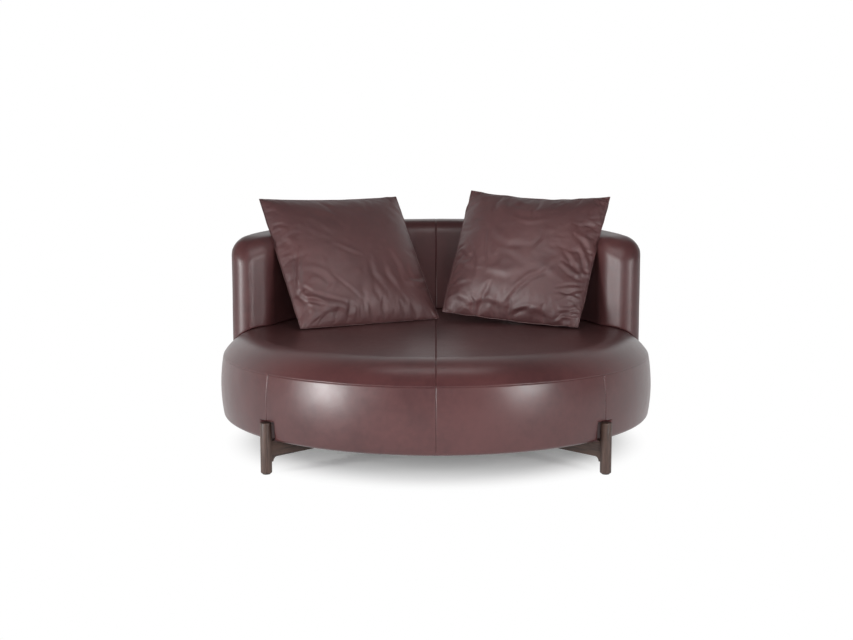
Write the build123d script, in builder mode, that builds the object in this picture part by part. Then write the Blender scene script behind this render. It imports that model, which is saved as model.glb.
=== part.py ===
from build123d import *
import os
from math import asin, atan2, cos, degrees, hypot, radians, sin, sqrt, tan

# A round two-seat sofa: a padded disc on four round legs, a curved back that stands on its
# rear half, and two loose square cushions that lean on the back.
# Millimetres and degrees. The origin is on the floor, under the middle of the seat, with +Z up,
# the back towards +Y and the open front towards -Y.

# Clearances and the overrun of every cut
skin_gap = 0.3
bolt_clearance = 0.3
joint_gap = 0.1
cut_overrun = 10.0

# Upholstery
leather = 3.0
cover_leather = 2.0
dust_cloth = 1.0

# Seat, outside
seat_radius = 840.0
seat_underside = 118.0
seat_height = 440.0
seat_corner_radius = 16.0
seam_inset = 11.0
seam_drop = 88.0
crown_inset = 150.0
crown_drop = 8.0
underside_wrap = 56.0

# Legs, just outside the seat's lower edge on the two diagonals, each in a recess of the band
leg_count = 4
leg_first_angle = 45.0
leg_radius = 20.0
leg_standout = 2.0
leg_height = 184.0
leg_top_round = 2.0
leg_foot_round = 5.0
recess_clearance = 18.0
recess_headroom = 4.0

# Floor glides
glide_radius = 14.0
glide_thickness = 3.0
glide_pin_radius = 3.0
glide_pin_length = 15.0

# Diagonal rails
rail_width = 30.0
rail_underside = 60.0
rail_gusset = 16.0
rail_flare_radius = 30.0
tenon_width = 12.0
tenon_height = 34.0
tenon_depth = 12.0

# Bolts that hold the rails to the seat
base_bolt_circles = (260.0, 600.0)
base_bolt_radius = 4.0
base_bolt_head_radius = 7.5
base_bolt_head_height = 5.0
counterbore_depth = 8.0
insert_radius = 6.5
insert_length = 25.0
spacer_radius = 14.0

# Seat frame
ring_margin = 3.0
ring_thickness = 16.0
ring_height = 161.0
board_thickness = 18.0
joist_width = 25.0
joist_height = 123.0
webbing_width = 50.0
webbing_thickness = 1.5
webbing_count = 7
webbing_spacing = 118.0
webbing_inset = 4.0
core_height = 62.0

# Back, outside
back_setback = 16.0
back_thickness = 160.0
back_height = 834.0
back_top_slope = 3.6
back_top_round = 54.0
arm_nose_radius = 60.0
arm_front = 42.0
arm_end_angle = 35.0
arm_inner_round = 90.0
arm_corner_radius = 200.0
arm_corner_lead = 62.0
outer_seam_inset = 6.0

# Back frame
shell_thickness = 9.0
shell_first_angle = 14.0
inner_padding = 36.0
frame_foot_gap = 4.0
frame_top_padding = 46.0
curved_rail_thickness = 18.0
rib_count = 8
rib_thickness = 18.0
rib_setback_angle = 1.3

# Steel uprights from the seat's ring into the back
upright_bays = (0, 2, 4, 6)
upright_width = 40.0
upright_thickness = 6.0
upright_foot = 160.0
upright_reach_share = 0.5
upright_slot_gap = 1.5
upright_bolt_inset = 40.0
upright_bolt_radius = 4.0
upright_bolt_head_radius = 7.0
upright_bolt_head_height = 4.0
upright_nut_radius = 9.0
upright_nut_height = 5.0

# Loose cushions
cushion_waist = 27.0
cushion_thickness = 190.0
cushion_seat_gap = 0.5
cushion_back_gap = 0.5
zip_length = 420.0
zip_width = 12.0
zip_thickness = 4.0
zip_inset = 7.0
left_cushion_size = 625.0
left_cushion_offset = -359.0
left_cushion_angles = (30.0, 37.7, 0.0)
right_cushion_size = 603.0
right_cushion_offset = 369.0
right_cushion_angles = (-22.2, 32.6, -2.5)
settle_steps = 40
sample_steps = 40

# Shares of a cushion's half thickness, and of its half width at the corners and at the middle
# of its sides, for one panel from the seam to the crown
level_shares = (0, 0.10, 0.34, 0.64, 0.87, 0.975, 0.995)
corner_shares = (1, 0.945, 0.80, 0.56, 0.32, 0.135, 0.059)
waist_shares = (1, 0.985, 0.915, 0.735, 0.46, 0.20, 0.0913)

# Radii, heights and angles that follow
padding_inset = leather + skin_gap
seam_radius = seat_radius - seam_inset
seam_height = seat_height - seam_drop
crown_radius = seat_radius - crown_inset
crown_height = seat_height - crown_drop
dome_radius = (crown_radius**2 + crown_drop**2) / (2 * crown_drop)
dome_middle = seat_height - dome_radius
crown_angle = degrees(asin(crown_radius / dome_radius))
rim_run = seam_radius - crown_radius
rim_fall = crown_height - seam_height
rim_tilt = rim_fall * (dome_radius - crown_drop) / dome_radius - rim_run * crown_radius / dome_radius
rim_radius = (rim_run**2 + rim_fall**2) / (2 * rim_tilt)
rim_middle = (
    crown_radius - rim_radius * crown_radius / dome_radius,
    crown_height - rim_radius * (dome_radius - crown_drop) / dome_radius,
)
belly_height = (seam_height + seat_underside) / 2
belly_radius = (((seam_height - seat_underside) / 2) ** 2 + seam_inset**2) / (2 * seam_inset)
leg_circle = seat_radius + leg_standout
leg_face = leg_circle - leg_radius
recess_radius = leg_radius + recess_clearance
recess_top = leg_height + recess_headroom
leg_angles = [leg_first_angle + quarter * 360 / leg_count for quarter in range(leg_count)]
rail_top = seat_underside - skin_gap
rail_middle = (rail_underside + rail_top) / 2
tenon_foot = rail_middle - tenon_height / 2
board_foot = seat_underside + padding_inset
board_top = board_foot + board_thickness
joist_middle = board_top + joist_height / 2
ring_outer = leg_circle - recess_radius - leather - ring_margin
ring_inner = ring_outer - ring_thickness
ring_top = board_top + ring_height
webbing_top = ring_top + 2 * webbing_thickness
core_foot = webbing_top + skin_gap
core_top = core_foot + core_height
back_outer = seat_radius - back_setback
back_inner = back_outer - back_thickness
arm_front_x = sqrt(back_inner**2 - arm_front**2)
shell_last_angle = 180 - shell_first_angle
inner_shell_inner = back_inner + inner_padding
inner_shell_outer = inner_shell_inner + shell_thickness
outer_shell_inner = ring_outer - shell_thickness
frame_foot = crown_height + frame_foot_gap
first_rib_angle = shell_first_angle + rib_setback_angle
bay_angle = (180 - 2 * first_rib_angle) / (rib_count - 1)
rib_angles = [first_rib_angle + rib * bay_angle for rib in range(rib_count)]
upright_angles = [(rib_angles[bay] + rib_angles[bay + 1]) / 2 for bay in upright_bays]
upright_face = ring_outer + joint_gap
upright_top = frame_foot + upright_reach_share * (back_height - frame_foot)


def save(piece, name):
    """Label a finished piece and write it to its own file."""
    piece.part.label = name
    export_step(piece.part, f"parts/{name}.step")


def polar(radius, angle):
    """Plan point at a radius and an angle about the seat's axis."""
    return (radius * cos(radians(angle)), radius * sin(radians(angle)))


def radial_plane(angle):
    """Upright plane through the seat's axis: local X runs outwards at the angle, local Y up."""
    return Plane(
        origin=(0, 0, 0),
        x_dir=(cos(radians(angle)), sin(radians(angle)), 0),
        z_dir=(sin(radians(angle)), -cos(radians(angle)), 0),
    )


def facing_plane(radius, angle):
    """Upright plane that faces outwards at a radius and an angle: local X along it, local Y up."""
    return Plane(
        origin=(*polar(radius, angle), 0),
        x_dir=(-sin(radians(angle)), cos(radians(angle)), 0),
        z_dir=(cos(radians(angle)), sin(radians(angle)), 0),
    )


def turned_plane(height, angle):
    """Level plane at a height, with local X turned to the angle."""
    return Plane.XY.offset(height).rotated((0, 0, angle))


def disc(radius, low, high):
    """Solid disc about the seat's axis between two heights."""
    with BuildPart() as solid:
        with BuildSketch(Plane.XY.offset(low)):
            Circle(radius)
        extrude(amount=high - low)
    return solid.part


def curved_strip(low_radius, high_radius, low, high, first_angle, last_angle):
    """Solid strip about the seat's axis with a rectangular section."""
    with BuildPart() as strip:
        with BuildSketch(radial_plane(first_angle)):
            with Locations((low_radius, low)):
                Rectangle(high_radius - low_radius, high - low, align=(Align.MIN, Align.MIN))
        revolve(axis=Axis.Z, revolution_arc=last_angle - first_angle)
    return strip.part


def wedge(first_angle, last_angle):
    """Solid between two upright half-planes through the seat's axis."""
    reach = 2 * seat_radius
    with BuildPart() as solid:
        with BuildSketch():
            with BuildLine():
                side = Line((0, 0), polar(reach, first_angle))
                rim = ThreePointArc(
                    side @ 1,
                    polar(reach, (first_angle + last_angle) / 2),
                    polar(reach, last_angle),
                )
                Line(rim @ 1, (0, 0))
            make_face()
        extrude(amount=2 * back_height)
    return solid.part


def keep_section(low_radius, low, high):
    """Keep the part of a drawn section outside a radius and between two heights."""
    with Locations((low_radius, low)):
        Rectangle(
            2 * seat_radius, high - low, align=(Align.MIN, Align.MIN), mode=Mode.INTERSECT
        )


def seat_section(inset):
    """Half of the seat's section, from its axis outwards, drawn in by the inset."""
    with BuildSketch() as section:
        with BuildLine():
            crown = CenterArc((0, dome_middle), dome_radius - inset, 90, -crown_angle)
            rim = CenterArc(rim_middle, rim_radius - inset, 90 - crown_angle, crown_angle - 90)
            side = Line(rim @ 1, (rim_middle[0] + rim_radius - inset, 0))
            floor = Line(side @ 1, (0, 0))
            Line(floor @ 1, crown @ 0)
        make_face()
        with Locations((seat_radius - belly_radius, belly_height)):
            Circle(belly_radius - inset, mode=Mode.INTERSECT)
        keep_section(0, seat_underside + inset, 2 * seat_height)
        lower_edge = section.vertices().group_by(Axis.Y)[0].sort_by(Axis.X)[-1]
        fillet(lower_edge, radius=seat_corner_radius - inset)
    return section.sketch


def seat_form(inset, low_radius, low, high):
    """Solid of revolution of the seat, drawn in by the inset, kept between two heights."""
    with BuildPart() as form:
        with BuildSketch(radial_plane(0)):
            add(seat_section(inset))
            keep_section(low_radius, low, high)
        revolve(axis=Axis.Z)
    return form.part


def seat_skin(low_radius, low, high, first_angle, last_angle):
    """One leather panel of the seat between two heights and two angles."""
    with BuildPart() as skin:
        with BuildSketch(radial_plane(first_angle)):
            add(seat_section(0))
            add(seat_section(leather), mode=Mode.SUBTRACT)
            keep_section(low_radius, low, high)
        revolve(axis=Axis.Z, revolution_arc=last_angle - first_angle)
    return skin.part


def recess_form(growth):
    """Solid of the four leg recesses, round-topped in plan and open outwards and below."""
    with BuildPart() as form:
        for angle in leg_angles:
            with BuildSketch(turned_plane(0, angle)):
                with Locations((leg_circle, 0)):
                    Circle(recess_radius + growth)
                    Rectangle(
                        recess_radius + cut_overrun,
                        2 * (recess_radius + growth),
                        align=(Align.MIN, Align.CENTER),
                    )
        extrude(amount=recess_top + growth)
    return form.part


def upright_slots(depth):
    """Solid of the slots that the steel uprights stand in, as deep as the upholstery needs."""
    with BuildPart() as slots:
        for angle in upright_angles:
            with BuildSketch(facing_plane(upright_face - upright_slot_gap, angle)):
                with Locations((0, upright_foot - upright_slot_gap)):
                    Rectangle(
                        upright_width + 2 * upright_slot_gap,
                        upright_top - upright_foot + 2 * upright_slot_gap,
                        align=(Align.CENTER, Align.MIN),
                    )
        extrude(amount=upright_thickness + depth + upright_slot_gap)
    return slots.part


def back_top_at(y):
    """Height of the back's sloping top at a place y, before its edges are rounded."""
    return back_height - (back_outer - y) * tan(radians(back_top_slope))


def under_top(depth):
    """Everything under the back's sloping top plane, less a depth."""
    front = -seat_radius
    rear = 2 * seat_radius
    with BuildPart() as space:
        with BuildSketch(Plane.YZ):
            with BuildLine():
                Polyline(
                    (front, 0),
                    (front, back_top_at(front) - depth),
                    (rear, back_top_at(rear) - depth),
                    (rear, 0),
                    close=True,
                )
            make_face()
        extrude(amount=2 * seat_radius, both=True)
    return space.part


def back_plan(inset):
    """Plan of the back: a wide arc whose ends are rounded noses with an oblique inner face."""
    outer = back_outer - inset
    inner = back_inner + inset
    nose = arm_nose_radius - inset
    nose_track = back_outer - arm_nose_radius
    nose_y = arm_front + arm_nose_radius
    nose_x = sqrt(nose_track**2 - nose_y**2)
    slant = radians(arm_end_angle)
    tip = (nose_x - nose * sin(slant), nose_y - nose * cos(slant))
    along = tip[1] * sin(slant) - tip[0] * cos(slant)
    reach = -along - sqrt(along**2 - tip[0] ** 2 - tip[1] ** 2 + inner**2)
    heel = (tip[0] - reach * cos(slant), tip[1] + reach * sin(slant))
    shoulder = (nose_x * outer / nose_track, nose_y * outer / nose_track)
    middle_angle = (atan2(nose_y, nose_x) - slant - radians(90)) / 2
    middle = (nose_x + nose * cos(middle_angle), nose_y + nose * sin(middle_angle))
    with BuildSketch() as plan:
        with BuildLine():
            ThreePointArc(shoulder, (0, outer), (-shoulder[0], shoulder[1]))
            ThreePointArc((-shoulder[0], shoulder[1]), (-middle[0], middle[1]), (-tip[0], tip[1]))
            Line((-tip[0], tip[1]), (-heel[0], heel[1]))
            ThreePointArc((-heel[0], heel[1]), (0, inner), heel)
            Line(heel, tip)
            ThreePointArc(tip, middle, shoulder)
        make_face()
        heels = [v for v in plan.vertices() if abs(hypot(v.X, v.Y) - inner) < joint_gap]
        fillet(heels, radius=arm_inner_round - inset)
    return plan.sketch


def back_form(inset):
    """Solid of the whole back, drawn in by the inset and cut to stand on the seat."""
    front = arm_front - arm_corner_lead + inset
    rear = back_outer + cut_overrun
    with BuildPart() as form:
        with BuildSketch(Plane.XY.offset(belly_height)):
            add(back_plan(inset))
        extrude(amount=back_height + cut_overrun - belly_height)
        with BuildSketch(Plane.YZ) as side:
            with BuildLine():
                Polyline(
                    (front, 0),
                    (front, back_top_at(front) - inset),
                    (rear, back_top_at(rear) - inset),
                    (rear, 0),
                    close=True,
                )
            make_face()
            corner = side.vertices().group_by(Axis.X)[0].sort_by(Axis.Y)[-1]
            fillet(corner, radius=arm_corner_radius - inset)
        extrude(amount=seat_radius, both=True, mode=Mode.INTERSECT)
        slope = sin(radians(back_top_slope))
        tops = form.faces().filter_by(lambda face: face.normal_at().Z > slope)
        rims = [edge for face in tops for edge in face.edges()]
        rims = [edge for edge in rims if sum(edge.is_same(other) for other in rims) == 1]
        fillet(rims, radius=back_top_round - inset)
        add(seat_form(-skin_gap, 0, 0, 2 * seat_height), mode=Mode.SUBTRACT)
    return form.part


def back_frame_strip(low_radius, high_radius, low_depth, high_depth):
    """Curved strip of the back's frame under the sloping top, from its foot unless cut lower."""
    with BuildPart() as strip:
        add(
            curved_strip(
                low_radius,
                high_radius,
                frame_foot,
                back_height,
                shell_first_angle,
                shell_last_angle,
            )
        )
        add(under_top(high_depth), mode=Mode.INTERSECT)
        if low_depth:
            add(under_top(low_depth), mode=Mode.SUBTRACT)
    return strip.part


os.makedirs("parts", exist_ok=True)

# Legs: round posts with eased ends, each with a mortise for its rail's tenon
leg_names = ("leg_rear_right", "leg_rear_left", "leg_front_left", "leg_front_right")
for leg_name, angle in zip(leg_names, leg_angles):
    with BuildPart() as leg:
        with BuildSketch(turned_plane(glide_thickness, angle)):
            with Locations((leg_circle, 0)):
                Circle(leg_radius)
        extrude(amount=leg_height - glide_thickness)
        fillet(leg.edges().group_by(Axis.Z)[-1], radius=leg_top_round)
        fillet(leg.edges().group_by(Axis.Z)[0], radius=leg_foot_round)
        with BuildSketch(turned_plane(glide_thickness, angle)):
            with Locations((leg_circle, 0)):
                Circle(glide_pin_radius + joint_gap)
        extrude(amount=glide_pin_length + joint_gap, mode=Mode.SUBTRACT)
        with BuildSketch(turned_plane(tenon_foot - joint_gap, angle)):
            with Locations((leg_face + tenon_depth + joint_gap, 0)):
                Rectangle(
                    tenon_depth + leg_radius,
                    tenon_width + 2 * joint_gap,
                    align=(Align.MAX, Align.CENTER),
                )
        extrude(amount=tenon_height + 2 * joint_gap, mode=Mode.SUBTRACT)
    save(leg, leg_name)

# Floor glides: discs pressed into the legs with a pin
for leg_name, angle in zip(leg_names, leg_angles):
    with BuildPart() as glide:
        with BuildSketch(turned_plane(0, angle)):
            with Locations((leg_circle, 0)):
                Circle(glide_radius)
        extrude(amount=glide_thickness)
        with BuildSketch(turned_plane(glide_thickness, angle)):
            with Locations((leg_circle, 0)):
                Circle(glide_pin_radius)
        extrude(amount=glide_pin_length)
    save(glide, leg_name.replace("leg", "glide"))

# Diagonal rails: half-lapped at the middle, curved into the legs below and at both sides,
# with a tenon at each end and counterbored holes for the bolts
rail_cuts = (
    ("rail_lower", leg_angles[0], rail_middle),
    ("rail_upper", leg_angles[1], rail_middle - 2 * rail_top),
)
for rail_name, angle, notch_foot in rail_cuts:
    bolt_points = [(end * r, 0) for end in (-1, 1) for r in base_bolt_circles]
    with BuildPart() as rail:
        with BuildSketch(radial_plane(angle)):
            with BuildLine():
                gusset_foot = rail_underside - rail_gusset
                top = Line((0, rail_top), (leg_circle, rail_top))
                end = Line(top @ 1, (leg_circle, gusset_foot))
                foot = Line(end @ 1, (leg_face, gusset_foot))
                curve = TangentArc((leg_face - rail_gusset, rail_underside), foot @ 1, tangent=(1, 0))
                floor = Line(curve @ 0, (0, rail_underside))
                Line(floor @ 1, top @ 0)
            make_face()
            mirror(about=Plane.YZ)
        extrude(amount=leg_radius, both=True)
        with BuildSketch(turned_plane(0, angle)) as plan:
            Rectangle(2 * leg_circle, rail_width)
            with Locations((-leg_circle, 0), (leg_circle, 0)):
                Circle(leg_radius)
            waists = [v for v in plan.vertices() if abs(v.X) < leg_circle - joint_gap]
            fillet(waists, radius=rail_flare_radius)
        extrude(amount=leg_height, mode=Mode.INTERSECT)
        with BuildSketch(turned_plane(0, angle)):
            with Locations((-leg_circle, 0), (leg_circle, 0)):
                Circle(leg_radius + joint_gap)
        extrude(amount=leg_height, mode=Mode.SUBTRACT)
        with BuildSketch(turned_plane(tenon_foot, angle)):
            with Locations((leg_face + tenon_depth, 0)):
                Rectangle(2 * tenon_depth, tenon_width, align=(Align.MAX, Align.CENTER))
            mirror(about=Plane.YZ)
        extrude(amount=tenon_height)
        with BuildSketch(turned_plane(notch_foot, angle)):
            Rectangle(rail_width + 2 * joint_gap, rail_width + cut_overrun)
        extrude(amount=2 * rail_top, mode=Mode.SUBTRACT)
        with BuildSketch(turned_plane(0, angle)):
            with Locations(*bolt_points):
                Circle(base_bolt_radius + bolt_clearance)
        extrude(amount=leg_height, mode=Mode.SUBTRACT)
        with BuildSketch(turned_plane(0, angle)):
            with Locations(*bolt_points):
                Circle(base_bolt_head_radius + bolt_clearance)
        extrude(amount=rail_underside + counterbore_depth, mode=Mode.SUBTRACT)
    save(rail, rail_name)

# Bolts from below, the threaded inserts that take them and the spacers between rails and seat
bolt_places = [polar(radius, angle) for angle in leg_angles for radius in base_bolt_circles]
bolt_seat = rail_underside + counterbore_depth

with BuildPart() as base_bolts:
    with BuildSketch(Plane.XY.offset(bolt_seat - base_bolt_head_height)):
        with Locations(*bolt_places):
            Circle(base_bolt_head_radius)
    extrude(amount=base_bolt_head_height)
    with BuildSketch(Plane.XY.offset(bolt_seat)):
        with Locations(*bolt_places):
            Circle(base_bolt_radius)
    extrude(amount=board_top + insert_length - bolt_seat - skin_gap)
save(base_bolts, "base_bolts")

with BuildPart() as threaded_inserts:
    with BuildSketch(Plane.XY.offset(board_top)):
        with Locations(*bolt_places):
            Circle(insert_radius)
            Circle(base_bolt_radius + joint_gap, mode=Mode.SUBTRACT)
    extrude(amount=insert_length)
save(threaded_inserts, "threaded_inserts")

with BuildPart() as rail_spacers:
    with BuildSketch(Plane.XY.offset(rail_top)):
        with Locations(*bolt_places):
            Circle(spacer_radius)
            Circle(base_bolt_radius + bolt_clearance, mode=Mode.SUBTRACT)
    extrude(amount=board_foot - rail_top)
save(rail_spacers, "rail_spacers")

# Seat frame: board, bent ring and two half-lapped joists
with BuildPart() as seat_board:
    with BuildSketch(Plane.XY.offset(board_foot)):
        Circle(ring_outer)
        with Locations(*bolt_places):
            Circle(base_bolt_radius + bolt_clearance, mode=Mode.SUBTRACT)
    extrude(amount=board_thickness)
save(seat_board, "seat_board")

ring_bolt_heights = (upright_foot + upright_bolt_inset, ring_top - upright_bolt_inset)
shell_bolt_heights = (frame_foot + upright_bolt_inset, upright_top - upright_bolt_inset)

with BuildPart() as seat_ring:
    with BuildSketch(Plane.XY.offset(board_top)):
        Circle(ring_outer)
        Circle(ring_inner, mode=Mode.SUBTRACT)
    extrude(amount=ring_height)
    for angle in upright_angles:
        with BuildSketch(facing_plane(ring_inner - cut_overrun, angle)):
            with Locations(*[(0, height) for height in ring_bolt_heights]):
                Circle(upright_bolt_radius + bolt_clearance)
    extrude(amount=ring_thickness + 2 * cut_overrun, mode=Mode.SUBTRACT)
save(seat_ring, "seat_ring")

joist_cuts = (
    ("joist_lower", leg_angles[0], joist_middle),
    ("joist_upper", leg_angles[1], joist_middle - joist_height),
)
for joist_name, angle, notch_foot in joist_cuts:
    with BuildPart() as joist:
        with BuildSketch(turned_plane(board_top, angle)):
            Circle(ring_inner - joint_gap)
            Rectangle(2 * seat_radius, joist_width, mode=Mode.INTERSECT)
        extrude(amount=joist_height)
        with BuildSketch(turned_plane(notch_foot, angle)):
            Rectangle(joist_width + 2 * joint_gap, joist_width + cut_overrun)
        extrude(amount=joist_height, mode=Mode.SUBTRACT)
        with BuildSketch(turned_plane(board_top, angle)):
            with Locations(*[(end * r, 0) for end in (-1, 1) for r in base_bolt_circles]):
                Circle(insert_radius + joint_gap)
        extrude(amount=insert_length + joint_gap, mode=Mode.SUBTRACT)
    save(joist, joist_name)

# Elastic webbing, stretched over the ring both ways
webbing_layers = (("webbing_across", ring_top, 0), ("webbing_along", ring_top + webbing_thickness, 90))
for webbing_name, height, angle in webbing_layers:
    with BuildPart() as webbing:
        with BuildSketch(turned_plane(height, angle)):
            with GridLocations(0, webbing_spacing, 1, webbing_count):
                Rectangle(2 * seat_radius, webbing_width)
            Circle(ring_outer - webbing_inset, mode=Mode.INTERSECT)
        extrude(amount=webbing_thickness)
    save(webbing, webbing_name)

# Seat foam: a side wall round the ring, a firm core over the webbing and a soft top
foam_recesses = recess_form(padding_inset)
foam_slots = upright_slots(upright_bolt_head_height)

with BuildPart() as seat_side_foam:
    add(seat_form(padding_inset, ring_outer + skin_gap, 0, webbing_top))
    add(foam_recesses, mode=Mode.SUBTRACT)
    add(foam_slots, mode=Mode.SUBTRACT)
save(seat_side_foam, "seat_side_foam")

with BuildPart() as seat_core_foam:
    add(seat_form(padding_inset, 0, core_foot, core_top))
    add(foam_slots, mode=Mode.SUBTRACT)
save(seat_core_foam, "seat_core_foam")

with BuildPart() as seat_top_foam:
    add(seat_form(padding_inset, 0, core_top + skin_gap, seat_height))
    add(foam_slots, mode=Mode.SUBTRACT)
save(seat_top_foam, "seat_top_foam")

# Seat leather: two top panels, six band panels, a lining in each leg recess and a dust cover
cover_slots = upright_slots(0)
for side_name, first_angle in (("right", -90), ("left", 90)):
    with BuildPart() as seat_cover:
        add(seat_skin(0, seam_height, seat_height, first_angle, first_angle + 180))
        add(cover_slots, mode=Mode.SUBTRACT)
    save(seat_cover, f"seat_cover_{side_name}")

band_names = (
    "band_front_right",
    "band_right",
    "band_rear_right",
    "band_rear_left",
    "band_left",
    "band_front_left",
)
band_seams = (-90, leg_angles[3] - 360, leg_angles[0], 90, leg_angles[1], leg_angles[2], 270)
band_recesses = recess_form(0)
for band_name, first_angle, last_angle in zip(band_names, band_seams, band_seams[1:]):
    with BuildPart() as band:
        add(seat_skin(seat_radius - underside_wrap, 0, seam_height, first_angle, last_angle))
        add(band_recesses, mode=Mode.SUBTRACT)
    save(band, band_name)

with BuildPart() as recess_linings:
    add(seat_form(leather, 0, 0, seat_height))
    add(recess_form(leather), mode=Mode.INTERSECT)
    add(band_recesses, mode=Mode.SUBTRACT)
save(recess_linings, "recess_linings")

with BuildPart() as dust_cover:
    with BuildSketch(Plane.XY.offset(board_foot - skin_gap)):
        Circle(seat_radius - underside_wrap - skin_gap)
        with Locations(*bolt_places):
            Circle(spacer_radius + skin_gap, mode=Mode.SUBTRACT)
    extrude(amount=-dust_cloth)
save(dust_cover, "dust_cover")

# Back frame: two bent shells, a foot rail, a top rail and ribs between them
with BuildPart() as back_shell_outer:
    add(back_frame_strip(outer_shell_inner, ring_outer, 0, frame_top_padding))
    for angle in upright_angles:
        with BuildSketch(facing_plane(outer_shell_inner - cut_overrun, angle)):
            with Locations(*[(0, height) for height in shell_bolt_heights]):
                Circle(upright_bolt_radius + bolt_clearance)
    extrude(amount=shell_thickness + 2 * cut_overrun, mode=Mode.SUBTRACT)
save(back_shell_outer, "back_shell_outer")

with BuildPart() as back_shell_inner:
    add(back_frame_strip(inner_shell_inner, inner_shell_outer, 0, frame_top_padding))
save(back_shell_inner, "back_shell_inner")

with BuildPart() as back_foot_rail:
    add(
        curved_strip(
            inner_shell_outer + joint_gap,
            outer_shell_inner - joint_gap,
            frame_foot,
            frame_foot + curved_rail_thickness,
            shell_first_angle,
            shell_last_angle,
        )
    )
save(back_foot_rail, "back_foot_rail")

rib_top_padding = frame_top_padding + curved_rail_thickness
with BuildPart() as back_top_rail:
    add(
        back_frame_strip(
            inner_shell_outer + joint_gap,
            outer_shell_inner - joint_gap,
            rib_top_padding,
            frame_top_padding,
        )
    )
save(back_top_rail, "back_top_rail")

with BuildPart() as back_ribs:
    for angle in rib_angles:
        with BuildSketch(turned_plane(frame_foot + curved_rail_thickness, angle)):
            with Locations((inner_shell_outer, 0)):
                Rectangle(
                    outer_shell_inner - inner_shell_outer,
                    rib_thickness,
                    align=(Align.MIN, Align.CENTER),
                )
    extrude(amount=back_height)
    add(under_top(rib_top_padding), mode=Mode.INTERSECT)
    add(disc(outer_shell_inner - joint_gap, 0, back_height), mode=Mode.INTERSECT)
    add(disc(inner_shell_outer + joint_gap, 0, back_height), mode=Mode.SUBTRACT)
save(back_ribs, "back_ribs")

# Steel uprights, bolted to the ring below and to the outer shell above
all_bolt_heights = (*ring_bolt_heights, *shell_bolt_heights)
with BuildPart() as back_uprights:
    for angle in upright_angles:
        with BuildSketch(facing_plane(upright_face, angle)):
            with Locations((0, upright_foot)):
                Rectangle(
                    upright_width, upright_top - upright_foot, align=(Align.CENTER, Align.MIN)
                )
            with Locations(*[(0, height) for height in all_bolt_heights]):
                Circle(upright_bolt_radius + bolt_clearance, mode=Mode.SUBTRACT)
    extrude(amount=upright_thickness)
save(back_uprights, "back_uprights")

walls = ((ring_bolt_heights, ring_thickness), (shell_bolt_heights, shell_thickness))
with BuildPart() as upright_bolts:
    for angle in upright_angles:
        with BuildSketch(facing_plane(upright_face + upright_thickness, angle)):
            with Locations(*[(0, height) for height in all_bolt_heights]):
                Circle(upright_bolt_head_radius)
    extrude(amount=upright_bolt_head_height)
    for heights, wall in walls:
        for angle in upright_angles:
            with BuildSketch(facing_plane(upright_face + upright_thickness, angle)):
                with Locations(*[(0, height) for height in heights]):
                    Circle(upright_bolt_radius)
        extrude(amount=-upright_thickness - wall - upright_nut_height - joint_gap)
save(upright_bolts, "upright_bolts")

with BuildPart() as upright_nuts:
    for heights, wall in walls:
        for angle in upright_angles:
            with BuildSketch(facing_plane(ring_outer - wall - joint_gap, angle)):
                with Locations(*[(0, height) for height in heights]):
                    RegularPolygon(upright_nut_radius, 6)
                    Circle(upright_bolt_radius + joint_gap, mode=Mode.SUBTRACT)
    extrude(amount=-upright_nut_height)
save(upright_nuts, "upright_nuts")

# Back foam: a pad on each shell, a roll along the top and a block in each arm end
foam_envelope = back_form(padding_inset)
frame_wedge = wedge(shell_first_angle, shell_last_angle)

with BuildPart() as back_inner_foam:
    add(foam_envelope)
    add(under_top(frame_top_padding), mode=Mode.INTERSECT)
    add(frame_wedge, mode=Mode.INTERSECT)
    add(disc(inner_shell_inner - skin_gap, 0, back_height), mode=Mode.INTERSECT)
save(back_inner_foam, "back_inner_foam")

with BuildPart() as back_outer_foam:
    add(foam_envelope)
    add(under_top(frame_top_padding), mode=Mode.INTERSECT)
    add(frame_wedge, mode=Mode.INTERSECT)
    add(disc(ring_outer + skin_gap, 0, back_height), mode=Mode.SUBTRACT)
    add(foam_slots, mode=Mode.SUBTRACT)
save(back_outer_foam, "back_outer_foam")

with BuildPart() as back_top_foam:
    add(foam_envelope)
    add(under_top(frame_top_padding - skin_gap), mode=Mode.SUBTRACT)
save(back_top_foam, "back_top_foam")

for side_name, side_keep in (("right", Keep.TOP), ("left", Keep.BOTTOM)):
    with BuildPart() as arm_foam:
        add(foam_envelope)
        add(under_top(frame_top_padding), mode=Mode.INTERSECT)
        add(frame_wedge, mode=Mode.SUBTRACT)
        split(bisect_by=Plane.YZ, keep=side_keep)
    save(arm_foam, f"arm_foam_{side_name}")

# Back leather: panels over the inside and the top, and panels round the outside
back_outside = back_form(0)
back_inside = back_form(leather)
seam_disc = disc(back_outer - outer_seam_inset, 0, 2 * back_height)
for side_name, side_keep in (("right", Keep.TOP), ("left", Keep.BOTTOM)):
    for panel_name, panel_mode in (("inner", Mode.INTERSECT), ("outer", Mode.SUBTRACT)):
        with BuildPart() as back_cover:
            add(back_outside)
            add(back_inside, mode=Mode.SUBTRACT)
            add(seam_disc, mode=panel_mode)
            split(bisect_by=Plane.YZ, keep=side_keep)
        save(back_cover, f"back_cover_{panel_name}_{side_name}")


def cushion_outline(corner, waist):
    """Square with drawn-in or swollen sides."""
    with BuildSketch() as outline:
        with BuildLine():
            ThreePointArc((corner, -corner), (waist, 0), (corner, corner))
            ThreePointArc((corner, corner), (0, waist), (-corner, corner))
            ThreePointArc((-corner, corner), (-waist, 0), (-corner, -corner))
            ThreePointArc((-corner, -corner), (0, -waist), (corner, -corner))
        make_face()
    return outline.sketch


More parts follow.
